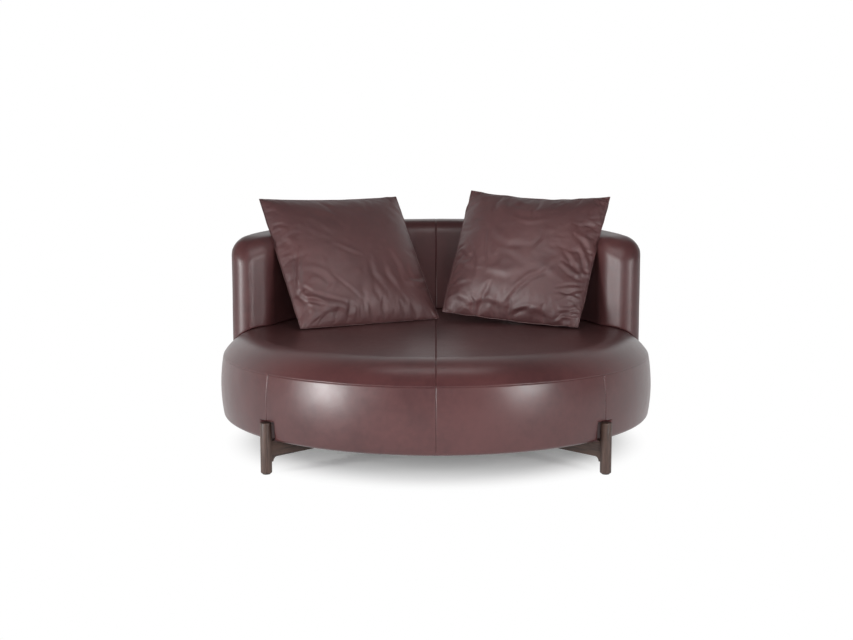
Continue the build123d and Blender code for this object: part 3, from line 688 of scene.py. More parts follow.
        faces = []
        rows = radius.shape[1]
        for column in range(len(angles) - 1):
            for row in range(rows - 1):
                a = column * rows + row
                b = a + rows
                if row == below - 1 and (column in roof or column + 1 in roof):
                    left, right = roof.get(column, a), roof.get(column + 1, b)
                    faces.append(tuple(dict.fromkeys((a, left, right, b))))
                    faces.append((left, a + 1, b + 1, right))
                else:
                    faces.append((a, a + 1, b + 1, b))
        away = points[:, :2] / np.linalg.norm(points[:, :2], axis=1)[:, None]
        rough = waves(points, *self.band_waves) - self.band_drop
        points[:, :2] += away * rough[:, None]
        return shell(mesh_object(name, points, faces), self.thickness, self.outward)

    def build(self) -> None:
        """Build and dress the seat's leather, and hide the solids that it stands for."""
        tops = (("right", -90.0, "seat_top_foam"), ("left", 90.0, "seat_core_foam"))
        for side, first, foam in tops:
            piece = dress(self.top_half(side, first), SEAT_LEATHER, "sofa")
            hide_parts(f"seat_cover_{side}", foam)
        bands = (
            ("front_right", -90.0, -45.0, ()),
            ("right", -45.0, 45.0, ("seat_side_foam",)),
            ("rear_right", 45.0, 90.0, ()),
            ("rear_left", 90.0, 135.0, ()),
            ("left", 135.0, 225.0, ("recess_linings",)),
            ("front_left", 225.0, 270.0, ()),
        )
        for place, first, last, inside in bands:
            panel = self.band_panel(f"seat_band_{place}", first, last)
            dress(panel, SEAT_LEATHER, "sofa")
            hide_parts(f"band_{place}", *inside)


def arc(centre: Sequence[float], radius: float, start: float, end: float, steps: int) -> Array:
    """Plan points along an arc, from start to end in radians, without the first of them."""
    turns = np.linspace(start, end, steps + 1)[1:]
    return centre + radius * np.column_stack([np.cos(turns), np.sin(turns)])


@dataclass
class BackUpholstery:
    """Leather of the curved back: an inner and an outer panel on each side, one loaf in all."""

    seat: SeatShape
    outer: float = 0.824
    inner: float = 0.664
    height: float = 0.834
    slope: float = 3.6
    top_round: float = 0.054
    nose: float = 0.060
    arm_front: float = 0.042
    end_angle: float = 35.0
    heel_round: float = 0.090
    corner_radius: float = 0.200
    corner_lead: float = 0.062
    seam_inset: float = 0.006
    thickness: float = 0.0024
    seam_width: float = 0.0042
    seam_depth: float = 0.0032
    foot_gap: float = 0.0006
    foot_width: float = 0.008
    foot_depth: float = 0.0045
    groove_width: float = 0.003
    groove_depth: float = 0.0018
    nose_seam_depth: float = 0.00256
    arm_reach: float = 0.2
    top_band: float = 0.14
    search_front: float = 0.05
    search_inside: float = 0.12
    even_from: float = 0.065
    even_levels: int = 21
    low_levels: tuple[float, ...] = (0.0, 0.006, 0.014, 0.026, 0.042)
    slow_waves: Layers = ((5.0, 0.0012), (15.0, 0.0004))
    waves_drop: float = 0.0008
    middle_near: tuple[float, ...] = (0.0006, 0.0014, 0.0024, 0.0036, 0.0052, 0.0085)
    insets: tuple[float, ...] = (
        0.0, 0.0012, 0.0030, 0.0045, 0.0054, 0.0060, 0.0066, 0.0078, 0.0098,
        0.013, 0.017, 0.022, 0.028, 0.034, 0.041, 0.048, 0.054,
    )
    outer_steps: tuple[int, int] = (84, 14)
    inner_steps: tuple[int, int, int, int] = (12, 12, 16, 58)

    def side_height(self, y: Array) -> Array:
        """Height of the back's top in side view, with its rounded front corner."""
        tilt = math.radians(self.slope)
        plane = self.height - (self.outer - y) * math.tan(tilt)
        centre_y = self.arm_front - self.corner_lead + self.corner_radius
        edge = self.height - (self.outer - centre_y) * math.tan(tilt)
        centre_z = edge - self.corner_radius / math.cos(tilt)
        touch_y = centre_y - self.corner_radius * math.sin(tilt)
        drop = np.clip(self.corner_radius**2 - (y - centre_y) ** 2, 0, None)
        return np.where(y < touch_y, centre_z + np.sqrt(drop), plane)

    def plan(self, inset: float, near: Sequence[float] = ()) -> Array:
        """Plan of the right half of the back, from its rear middle round the nose to its front.

        Args:
            inset: Distance to the outside.
            near: Distances to the middle seam of more places close to it.

        Returns:
            The plan points.
        """
        nose_y = self.arm_front + self.nose
        nose = np.array((math.sqrt((self.outer - self.nose) ** 2 - nose_y**2), nose_y))
        slant = math.radians(self.end_angle)
        bearing = math.atan2(nose[1], nose[0])
        middle = (bearing - slant - math.pi / 2) / 2
        normal = np.array((-math.sin(slant), -math.cos(slant)))
        along = np.array((-math.cos(slant), math.sin(slant)))
        inward = nose + (self.nose - self.heel_round) * normal
        half = inward @ along
        reach = -half - math.sqrt(
            half**2 - (inward @ inward - (self.inner + self.heel_round) ** 2)
        )
        heel = inward + reach * along
        heel_bearing = math.atan2(heel[1], heel[0])
        slanted = math.atan2(normal[1], normal[0])
        outer, inner = self.outer - inset, self.inner + inset
        tip, bend = self.nose - inset, self.heel_round - inset
        upright = math.pi / 2
        seams = [
            np.array([(offset, math.sqrt(ring**2 - offset**2)) for offset in (0.0, *near)])
            for ring in (outer, inner)
        ]
        rear, front = self.outer_steps, self.inner_steps
        return np.concatenate([
            seams[0],
            arc((0, 0), outer, upright, bearing, rear[0]),
            arc(nose, tip, bearing, middle, rear[1]),
            arc(nose, tip, middle, slanted, front[0]),
            np.linspace(nose + tip * normal, heel + bend * normal, front[1] + 1)[1:],
            arc(heel, bend, slanted, heel_bearing - math.pi, front[2]),
            arc((0, 0), inner, heel_bearing, upright, front[3])[:-1],
            seams[1][::-1],
        ])

    def panels(self, side: int) -> dict[str, Piece]:
        """Build the two panels of one half of the back.

        Args:
            side: 1 for the right half and -1 for the left half.

        Returns:
            The inner and the outer panel by name.
        """
        rings = [self.plan(inset, self.middle_near) for inset in self.insets]
        plan = rings[0]
        count = len(plan)
        tip = sum(self.outer_steps) + len(self.middle_near)
        tangents = np.gradient(plan, axis=0)
        tangents /= np.linalg.norm(tangents, axis=1)[:, None]
        normals = np.stack([-tangents[:, 1], tangents[:, 0]], axis=1)
        reach = np.hypot(*plan.T)
        foot = self.seat.surface_z(np.minimum(reach, self.seat.seam_radius)) + self.foot_gap
        wall = self.side_height(plan[:, 1]) - self.top_round - foot
        off_seam = np.abs(reach - (self.outer - self.seam_inset))
        off_seam[plan[:, 1] > self.arm_reach] = np.inf
        seam_at = int(off_seam[:tip + 1].argmin())
        lengths = run_lengths(plan)
        to_vertical = np.abs(lengths - lengths[seam_at])
        is_outer = np.arange(count) <= seam_at

        rows = []
        for level in (*self.low_levels, *np.linspace(self.even_from, 1, self.even_levels)):
            depth = roll(wall * level, self.foot_width, self.foot_depth)
            depth = depth + roll(np.abs(plan[:, 0]), self.seam_width, self.seam_depth)
            depth = depth + roll(to_vertical, self.seam_width, self.nose_seam_depth)
            depth = np.minimum(depth, self.foot_depth)
            rows.append(np.column_stack([plan - normals * depth[:, None], foot + wall * level]))
        seam_row = len(rows) + self.insets.index(self.seam_inset) - 1
        for ring, inset in zip(rings[1:], self.insets[1:]):
            level = self.top_round - inset
            drop = self.top_round - math.sqrt(self.top_round**2 - level**2)
            groove = roll(abs(inset - self.seam_inset), self.groove_width, self.groove_depth)
            depth = roll(np.abs(ring[:, 0]), self.seam_width, self.seam_depth)
            depth = np.minimum(depth + groove * is_outer, self.seam_depth)
            tilt = math.acos(level / self.top_round)
            height = self.side_height(ring[:, 1]) - drop - depth * math.sin(tilt)
            spot = ring - normals * (depth * math.cos(tilt))[:, None]
            rows.append(np.column_stack([spot, height]))

        faces = {"inner": [], "outer": []}
        for row in range(len(rows) - 1):
            for place in range(count - 1):
                a = row * count + place
                panel = "outer" if place < seam_at and row < seam_row else "inner"
                faces[panel].append((a, a + 1, a + count + 1, a + count))
        faces["inner"] += self.bridge(rows[-1], (len(rows) - 1) * count, tip)
        points = np.concatenate(rows)
        points[:, 0] *= side
        rough = waves(points, *self.slow_waves) - self.waves_drop
        points += rough[:, None] * self.outward(points)
        word = "right" if side > 0 else "left"
        return {
            panel: shell(
                mesh_object(f"back_{panel}_{word}", points, faces[panel]),
                self.thickness, self.outward,
            )
            for panel in ("inner", "outer")
        }

    @staticmethod
    def bridge(ring: Array, first: int, tip: int) -> list[tuple[int, int, int]]:
        """Close the top between the innermost ring's outer and inner run.

        Args:
            ring: Points of the innermost ring.
            first: Number of its first point in the mesh.
            tip: Place in the ring where both runs meet, at the nose.

        Returns:
            The new faces.
        """
        runs = (list(range(tip + 1)), list(range(len(ring) - 1, tip - 1, -1)))
        steps = []
        for number, run in enumerate(runs):
            lengths = run_lengths(ring[run])
            steps += [(length / lengths[-1], number) for length in lengths[1:]]
        at = [0, 0]
        faces = []
        for _, number in sorted(steps):
            a, b = (run[place] for run, place in zip(runs, at))
            at[number] += 1
            c = runs[number][at[number]]
            if len({a, b, c}) == 3:
                faces.append((first + a, first + c, first + b))
        return faces

    def push_out(self, points: Array, gap: float) -> Array:
        """Move points that lie in the back, or too close to it, out to the seat's side of it.

        Args:
            points: Places to move.
            gap: Distance that stays between them and the leather.

        Returns:
            The moved places.
        """
        inner = self.plan(0.0)[sum(self.outer_steps):]
        line = np.concatenate([inner, (inner * (-1, 1))[::-1][1:]])
        starts, runs = line[:-1], np.diff(line, axis=0)
        sizes = (runs**2).sum(axis=1)
        sides = np.column_stack([-runs[:, 1], runs[:, 0]]) / np.sqrt(sizes)[:, None]
        sides *= np.where((sides * starts).sum(axis=1) > 0, -1, 1)[:, None]
        near = points[:, 1] > self.arm_front - self.search_front
        near &= np.hypot(points[:, 0], points[:, 1]) > self.inner - self.search_inside
        spots = points[near]
        offset = spots[:, None, :2] - starts
        share = np.clip((offset * runs).sum(axis=2) / sizes, 0, 1)
        away = offset - share[..., None] * runs
        nearest = np.hypot(away[..., 0], away[..., 1]).argmin(axis=1)
        side = sides[nearest]
        free = (away[np.arange(len(spots)), nearest] * side).sum(axis=1)
        above = spots[:, 2] - (self.side_height(spots[:, 1]) - self.top_round)
        level = np.clip(above, 0, self.top_round)
        allowed = self.top_round - np.sqrt(self.top_round**2 - level**2)
        lacking = np.where(above > self.top_round, 0, np.maximum(gap - free - allowed, 0))
        moved = points.copy()
        moved[near, :2] += side * lacking[:, None]
        return moved

    def outward(self, points: Array) -> Array:
        """Direction away from the middle line of the loaf, for each point."""
        radius = np.hypot(points[:, 0], points[:, 1])
        middle = (self.outer + self.inner) / 2
        away = points.copy()
        away[:, :2] = points[:, :2] * ((radius - middle) / radius)[:, None]
        away[:, 2] = np.maximum(points[:, 2] - (self.height - self.top_band), 0)
        length = np.linalg.norm(away, axis=1)
        return away / np.maximum(length, 1e-6)[:, None]

    def build(self) -> None:
        """Build and dress the back's leather, and hide the solids that it stands for."""
        inside = {
            ("inner", 1): ("back_inner_foam", "arm_foam_right"),
            ("inner", -1): ("back_top_foam", "arm_foam_left"),
            ("outer", 1): ("back_outer_foam",),
            ("outer", -1): (),
        }
        for side, word in ((1, "right"), (-1, "left")):
            for panel, piece in self.panels(side).items():
                dress(piece, BACK_LEATHER, "sofa")
                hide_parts(f"back_cover_{panel}_{word}", *inside[(panel, side)])


@dataclass(frozen=True)
class Crease:
    """A fold in a cushion's face: its points in shares of the half width, width and depth."""

    points: tuple[tuple[float, float], ...]
    width: float
    depth: float
    valley: float = 1.0
    ridge: float = 0.85


@dataclass(frozen=True)
class Gathers:
    """A row of short folds that start at a seam, in shares of the half width."""

    first: tuple[float, float]
    last: tuple[float, float]
    reach: tuple[float, float]
    count: int
    width: float
    depth: float

    def creases(self) -> list[Crease]:
        """Spell the row out as single folds, each a little different."""
        made = []
        for k in range(self.count):
            share = (k + 0.5 + 0.25 * math.sin(5.1 * k + self.count)) / self.count
            u = self.first[0] + (self.last[0] - self.first[0]) * share
            v = self.first[1] + (self.last[1] - self.first[1]) * share
            size = 0.75 + 0.45 * math.sin(3.7 * k + 1.3) ** 2
            bend = 0.18 * math.sin(2.3 * k)
            du, dv = self.reach[0] * size, self.reach[1] * size
            middle = (u + 0.5 * du - bend * dv, v + 0.5 * dv + bend * du)
            path = ((u, v), middle, (u + du, v + dv))
            made.append(Crease(path, self.width, self.depth * size))
        return made


CLOTH = {
    "quality": 6,
    "mass": 0.25,
    "tension_stiffness": 18,
    "compression_stiffness": 18,
    "shear_stiffness": 8,
    "bending_stiffness": 0.25,
    "use_pressure": True,
    "uniform_pressure_force": 4.0,
}


@dataclass
class LooseCushion:
    """A knife-edged feather cushion: two leather panels, blown up as cloth, and their seam.

    The seam's outline is held while the panels swell, and the folds are laid in afterwards.
    """

    side: str
    size: float
    middle: Point
    angles: tuple[float, float, float]
    seat: SeatShape
    folds: tuple[Crease | Gathers, ...]
    waists: tuple[float, float, float, float]
    corners: tuple[tuple[float, float], ...]
    slack: float
    seed: float
    edge_waves: float
    thickness: float = 0.190
    belly_shift: float = 0.10
    flatter: float = 0.008
    corner_power: float = 1.6
    crown_power: float = 2.2
    crown_flatness: float = 0.54
    front_rough: float = 0.006
    back_rough: float = 0.005
    rough_fading: float = 12
    fold_fading: float = 22
    cells: int = 96
    crowding: float = 0.80
    frames: int = 20
    fold_share: float = 0.6
    cap: float = 0.026
    seat_gap: float = 0.0007
    back_gap: float = 0.0012
    cord_radius: float = 0.0019

    def __post_init__(self) -> None:
        """Lay out the places of a panel, from -1 to 1, and the border that both panels share."""
        n = self.cells
        quarter = math.pi / 2
        line = np.sin(np.linspace(-1, 1, n + 1) * quarter * self.crowding)
        line = line / math.sin(quarter * self.crowding)
        self.u, self.v = np.meshgrid(line, line, indexing="ij")
        self.border = [(i, 0) for i in range(n)] + [(n, j) for j in range(n)]
        self.border += [(i, n) for i in range(n, 0, -1)] + [(0, j) for j in range(n, 0, -1)]
        self.border_points = [i * (n + 1) + j for i, j in self.border]

    def plane(self) -> Matrix:
        """Turn and place: local X along the cushion, local Y up its face, local Z forwards."""
        yaw, lean, turn = [math.radians(angle) for angle in self.angles]
        along = Vector((math.cos(yaw), math.sin(yaw), 0))
        upwards = Vector(
            (-math.sin(yaw) * math.sin(lean), math.cos(yaw) * math.sin(lean), math.cos(lean))
        )
        x_axis = along * math.cos(turn) + upwards * math.sin(turn)
        z_axis = along.cross(upwards)
        y_axis = z_axis.cross(x_axis)
        axes = Matrix((x_axis, y_axis, z_axis)).transposed().to_4x4()
        return Matrix.Translation(Vector(self.middle)) @ axes

    def form(self, face: int) -> Array:
        """Rest form of one panel, crowned, with sides that pull in between its corners.

        Args:
            face: 1 for the front panel and -1 for the back panel.

        Returns:
            Local X, Y and Z of each place.
        """
        u, v = self.u, self.v
        half = self.size / 2
        left, right, bottom, top = self.waists
        x = u * half - np.abs(u) * u * (1 - v**2) * np.where(u > 0, right, left)
        y = v * half - np.abs(v) * v * (1 - u**2) * np.where(v > 0, top, bottom)
        for (su, sv), (dx, dy) in zip(((-1, -1), (1, -1), (1, 1), (-1, 1)), self.corners):
            weight = ((1 + su * u) / 2 * (1 + sv * v) / 2) ** self.corner_power
            x, y = x + dx * weight, y + dy * weight
        low = v + self.belly_shift * (1 - v**2)
        power = self.crown_power
        crown = np.clip((1 - np.abs(u) ** power) * (1 - np.abs(low) ** power), 0, 1)
        crown = crown**self.crown_flatness
        z = face * (self.thickness / 2 - self.flatter) * crown
        return np.stack([x, y, z], axis=-1)

    def crease_depth(self) -> Array:
        """Depth of the folds at each place of the front panel."""
        u, v = self.u.ravel(), self.v.ravel()
        depth = np.zeros_like(u)
        creases: list[Crease] = []
        for fold in self.folds:
            creases += fold.creases() if isinstance(fold, Gathers) else [fold]
        for crease in creases:
            path = np.array(crease.points)
            lengths = run_lengths(path)
            nearest = np.full(u.shape, 9.0)
            signed, taper = np.zeros_like(u), np.zeros_like(u)
            for start, end, before in zip(path, path[1:], lengths):
                run = end - start
                size = float(run @ run)
                share = ((u - start[0]) * run[0] + (v - start[1]) * run[1]) / size
                share = np.clip(share, 0, 1)
                du, dv = u - (start[0] + share * run[0]), v - (start[1] + share * run[1])
                distance = np.hypot(du, dv)
                side = np.sign(run[0] * dv - run[1] * du)
                at = (before + share * math.sqrt(size)) / lengths[-1]
                closer = distance < nearest
                nearest = np.where(closer, distance, nearest)
                signed = np.where(closer, side * distance, signed)
                taper = np.where(closer, np.sin(np.pi * np.clip(0.10 + 0.80 * at, 0, 1)), taper)
            across = signed / crease.width
            valley = -crease.valley * np.exp(-((across + 0.45) ** 2) * 3.2)
            ridge = crease.ridge * np.exp(-((across - 0.45) ** 2) * 2.6)
            depth += self.fold_share * crease.depth * taper * (valley + ridge)
        return depth

    def fading(self, rate: float) -> Array:
        """Share from 0 at the seam to 1 inside it, at each place."""
        across = np.clip((1 - np.abs(self.u)) * rate, 0, 1)
        return across * np.clip((1 - np.abs(self.v)) * rate, 0, 1)

    def panels(self) -> Piece:
        """Join both panels into one closed form, a little flatter than the blown-up cushion."""
        n, u, v = self.cells, self.u, self.v
        front, back = self.form(1), self.form(-1)
        seed = Vector((self.seed, 3.1 * self.seed, 0))
        rough = np.array([
            noise.noise(Vector((a * 2.6, b * 2.6, 0)) + seed)
            + 0.5 * noise.noise(Vector((a * 8, b * 8, 4)) + seed)
            for a, b in zip(u.ravel(), v.ravel())
        ]).reshape(u.shape)
        fading = self.fading(self.rough_fading)
        front[..., 2] += fading * self.front_rough * rough
        back[..., 2] -= fading * self.back_rough * rough
        inner = np.ones(u.shape, bool)
        for i, j in self.border:
            inner[i, j] = False
        f = np.arange((n + 1) ** 2).reshape(u.shape)
        b = f.copy()
        b[inner] = (n + 1) ** 2 + np.arange(int(inner.sum()))
        points = np.concatenate([front.reshape(-1, 3), back[inner]])
        for k, (i, j) in enumerate(self.border):
            wave = noise.noise(Vector((k * 0.13, self.seed * 7.7, 0)))
            end = min(1.0, 6 * (1 - min(abs(u[i, j]), abs(v[i, j]))))
            points[self.border_points[k], 2] += self.edge_waves * wave * end
        faces = []
        for i in range(n):
            for j in range(n):
                faces.append((f[i, j], f[i + 1, j], f[i + 1, j + 1], f[i, j + 1]))
                faces.append((b[i, j], b[i, j + 1], b[i + 1, j + 1], b[i + 1, j]))
        place = np.array(self.plane())
        points = points @ place[:3, :3].T + place[:3, 3]
        return mesh_object(f"cushion_{self.side}", points, faces)

    def blow_up(self, piece: Piece) -> None:
        """Let the closed form swell as cloth held at its seam, and apply the result."""
        scene = bpy.context.scene
        before = self.read(piece)
        held = piece.vertex_groups.new(name="seam")
        held.add(self.border_points, 1.0, "REPLACE")
        cloth = piece.modifiers.new("cloth", "CLOTH")
        for name, value in CLOTH.items():
            setattr(cloth.settings, name, value)
        cloth.settings.shrink_min = -self.slack
        cloth.settings.vertex_group_mass = held.name
        cloth.settings.effector_weights.gravity = 0
        cloth.collision_settings.use_collision = False
        cloth.collision_settings.use_self_collision = False
        cloth.point_cache.frame_start = 1
        cloth.point_cache.frame_end = self.frames
        for number in range(1, self.frames + 1):
            scene.frame_set(number)
        after = self.read(piece.evaluated_get(bpy.context.evaluated_depsgraph_get()))
        piece.modifiers.remove(cloth)
        piece.vertex_groups.remove(held)
        scene.frame_set(1)
        move = after - before
        length = np.linalg.norm(move, axis=1)
        log.info("cushion_%s swelled by %.1f mm at most", self.side, 1000 * length.max())
        move *= np.where(length > self.cap, self.cap / np.maximum(length, 1e-9), 1.0)[:, None]
        self.write(piece, before + move)

    @staticmethod
    def read(piece: Piece) -> Array:
        """All points of a mesh."""
        return np.array([vertex.co for vertex in piece.data.vertices])

    @staticmethod
    def write(piece: Piece, points: Array) -> None:
        """Set all points of a mesh."""
        piece.data.vertices.foreach_set("co", points.astype(np.float32).ravel())
        piece.data.update()

    def crease(self, piece: Piece) -> None:
        """Lay the folds into the front panel along its own normals."""
        points = self.read(piece)
        normals = np.array([vertex.normal for vertex in piece.data.vertices])
        depth = self.fading(self.fold_fading).ravel() * self.crease_depth()
        count = len(depth)
        points[:count] += normals[:count] * depth[:, None]
        self.write(piece, points)

    def rest(self, piece: Piece, back: BackUpholstery) -> None:
        """Flatten the cushion where it meets the seat and the back."""
        points = back.push_out(self.read(piece), self.back_gap)
        radius = np.hypot(points[:, 0], points[:, 1])
        floor = self.seat.surface_z(np.minimum(radius, self.seat.seam_radius)) + self.seat_gap
        points[:, 2] = np.maximum(points[:, 2], floor)
        self.write(piece, points)

    def seam(self, piece: Piece) -> Piece:
        """Lay the turned seam along the cushion's edge as a thin closed cord of leather."""
        curve = bpy.data.curves.new(f"cushion_{self.side}_seam", "CURVE")
        curve.dimensions = "3D"
        curve.bevel_depth = self.cord_radius
        curve.bevel_resolution = 2
        spline = curve.splines.new("POLY")
        spline.points.add(len(self.border_points) - 1)
        for point, number in zip(spline.points, self.border_points):
            point.co = (*piece.data.vertices[number].co, 1)
        spline.use_cyclic_u = True
        cord = bpy.data.objects.new(curve.name, curve)
        bpy.context.collection.objects.link(cord)
        choose(cord)
        bpy.ops.object.convert(target="MESH")
        smooth(cord)
        return cord

    def build(self, back: BackUpholstery) -> None:
        """Build and dress the cushion, and hide the solids that it stands for."""
        piece = self.panels()
        body = f"cushion_{self.side}"
        self.blow_up(piece)
        self.crease(piece)
        self.rest(piece, back)
        seam = self.seam(piece)
        apply_modifier(piece, "SUBSURF", levels=1, render_levels=1)
        smooth(piece)
        dress(piece, CUSHION_LEATHER, body)
        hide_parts(f"{body}_cover_front", f"{body}_cover_back", f"{body}_filling")
        dress(seam, CUSHION_LEATHER, body)
        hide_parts(f"{body}_zip")


@dataclass
class WoodenBase:
    """Legs, glides and rails: round posts outside the seat, joined across by two rails."""

    leg_radius: float = 0.020
    top_round: float = 0.002
    foot_round: float = 0.005
    glide_edge: float = 0.0004
    rail_edge: float = 0.0009

    def leg(self, name: str) -> Piece:
        """Turn one post at the place of its solid, with eased ends."""
        low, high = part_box(name)
        bpy.ops.object.select_all(action="DESELECT")
        bpy.ops.mesh.primitive_cylinder_add(
            vertices=96, radius=self.leg_radius, depth=high[2] - low[2],
            location=[(a + b) / 2 for a, b in zip(low, high)],
        )
        piece = bpy.context.object
        piece.name = name.replace("leg", "post")
        for is_top, width in ((True, self.top_round), (False, self.foot_round)):
            self.select_end(piece, is_top)
            bpy.ops.mesh.bevel(offset=width, segments=4, profile=0.5, affect="EDGES")
            bpy.ops.object.mode_set(mode="OBJECT")
        bpy.ops.object.transform_apply(location=True, rotation=True, scale=True)
        smooth(piece, 40)
        return piece

    @staticmethod
    def select_end(piece: Piece, is_top: bool) -> None:
        """Open a post for editing with the rim of its top or foot selected."""
        with editing(piece):
            bpy.ops.mesh.select_mode(type="EDGE")
            bpy.ops.mesh.select_all(action="DESELECT")
        heights = [vertex.co.z for vertex in piece.data.vertices]
        wanted = max(heights) if is_top else min(heights)
        for edge in piece.data.edges:
            edge.select = all(abs(heights[end] - wanted) < 1e-5 for end in edge.vertices)
        bpy.ops.object.mode_set(mode="EDIT")

    def from_solid(self, node: str, name: str, width: float) -> Piece:
        """Copy a rigid solid of the frame, merge it and ease its edges.

        Args:
            node: Name of the solid.
            name: Name of the new piece.
            width: Width of the eased edges.

        Returns:
            The finished copy.
        """
        choose(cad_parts[node])
        bpy.ops.object.duplicate()
        piece = bpy.context.object
        piece.name = name
        piece.parent = None
        piece.matrix_world = Matrix.Identity(4)
        with editing(piece):
            bpy.ops.mesh.remove_doubles(threshold=0.00002)
            bpy.ops.mesh.dissolve_limited(angle_limit=math.radians(0.5))
        corner = math.radians(50)
        apply_modifier(
            piece, "BEVEL", width=width, segments=2, limit_method="ANGLE", angle_limit=corner
        )
        smooth(piece, 35)
        return piece

    def build(self) -> None:
        """Build and dress the base, and hide the solids that it stands for."""
        for place in ("front_left", "front_right", "rear_left", "rear_right"):
            post = dress(self.leg(f"leg_{place}"), WOOD_UPRIGHT, "sofa")
            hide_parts(f"leg_{place}")
            glide = self.from_solid(f"glide_{place}", f"foot_{place}", self.glide_edge)
            dress(glide, GLIDE_NYLON, "sofa")
            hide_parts(f"glide_{place}")
        for rail, finish in (("rail_lower", WOOD_DIAGONAL), ("rail_upper", WOOD_CROSS)):
            beam = self.from_solid(rail, rail.replace("rail", "beam"), self.rail_edge)
            dress(beam, finish, "sofa")
            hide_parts(rail)


@dataclass
class DustCover:
    """Thin cloth stretched under the seat's board, sagging a little."""

    radius: float = 0.7835
    sag: float = 0.002
    ripple: float = 0.0004
    thickness: float = 0.0008
    rings: int = 14
    steps: int = 96

    def build(self) -> None:
        """Build and dress the cloth, and hide the solid that it stands for."""
        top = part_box("dust_cover")[0][2]
        share = np.arange(1, self.rings + 1)[:, None] / self.rings
        turn = 2 * math.pi * np.arange(self.steps) / self.steps
        drop = self.sag * (1 - share**2) + self.ripple * np.sin(8 * turn) * (1 - share)
        cloth = turned(self.radius * share, top - drop, turn)
        points = np.concatenate([[(0.0, 0.0, top - self.sag)], cloth])
        steps = self.steps
        faces = [(0, 1 + (k + 1) % steps, 1 + k) for k in range(steps)]
        for ring in range(self.rings - 1):
            for step in range(steps):
                a = 1 + ring * steps + step
                b = 1 + ring * steps + (step + 1) % steps
                faces.append((a, b, b + steps, a + steps))
        piece = mesh_object("dust_cloth", points, faces)
        with editing(piece):
            bpy.ops.mesh.normals_make_consistent(inside=False)
        apply_modifier(piece, "SOLIDIFY", thickness=self.thickness, offset=0.0)
        smooth(piece, 40)
        dress(piece, DUST_CLOTH, "sofa")
        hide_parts("dust_cover")


@dataclass
class InnerFrame:
    """Pieces of the frame whose solids stay, with the finish of each."""

    plywood: tuple[str, ...] = (
        "seat_board", "seat_ring", "joist_lower", "joist_upper", "back_shell_inner",
        "back_shell_outer", "back_foot_rail", "back_top_rail", "back_ribs",
    )
    steel: tuple[str, ...] = (
        "base_bolts", "threaded_inserts", "upright_bolts", "upright_nuts", "back_uprights",
    )
    webbing: tuple[str, ...] = ("webbing_across", "webbing_along")
    spacers: tuple[str, ...] = ("rail_spacers",)

    def build(self) -> None:
        """Dress every solid that is kept."""
        kinds = (self.plywood, self.steel, self.webbing, self.spacers)
        for nodes, finish in zip(kinds, (PLYWOOD, STEEL, WEBBING, SPACER_RUBBER)):
            for node in nodes:
                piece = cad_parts[node]
                piece.data.materials.clear()
                piece.data.materials.append(finish.make())
                log.info("%s: solid kept, %s", node, finish.name)


@dataclass(frozen=True)
class Lamp:
    """A soft rectangular lamp that looks at a target, with its power in watts."""

    name: str
    place: Point
    target: Point
    size: tuple[float, float]
    power: float
    unseen_by: str = ""

    def hang(self) -> None:
        """Put the lamp into the scene."""
        data = bpy.data.lights.new(self.name, "AREA")
        data.shape = "RECTANGLE"
        data.size, data.size_y = self.size
        data.energy = self.power
        piece = bpy.data.objects.new(self.name, data)
        piece.location = self.place
        gaze = Vector(self.target) - Vector(self.place)
        piece.rotation_euler = gaze.to_track_quat("-Z", "Y").to_euler()
        if self.unseen_by:
            setattr(piece, f"visible_{self.unseen_by}", False)
        bpy.context.collection.objects.link(piece)


LAMPS = (
    Lamp("lamp_left", (-3.13, -2.44, 0.66), (0.1, -0.4, 0.35), (0.95, 1.15), 95),
    Lamp("lamp_right", (2.69, -3.02, 0.90), (0.0, -0.4, 0.35), (0.85, 0.90), 54),
    Lamp("lamp_top", (0.0, -0.6, 1.55), (0.0, 0.66, 0.74), (0.90, 0.40), 4, "camera"),
    Lamp("lamp_strip", (-1.84, -3.23, 0.9), (-0.6, 0.0, 0.5), (0.22, 1.2), 5),
    Lamp("lamp_backdrop", (0.0, 2.6, 3.2), (0.0, 0.0, 2.6), (5.0, 5.4), 44, "glossy"),
    Lamp("lamp_fill", (0.2, -4.3, 1.35), (0.0, 0.0, 0.5), (2.4, 1.0), 92, "glossy"),
)


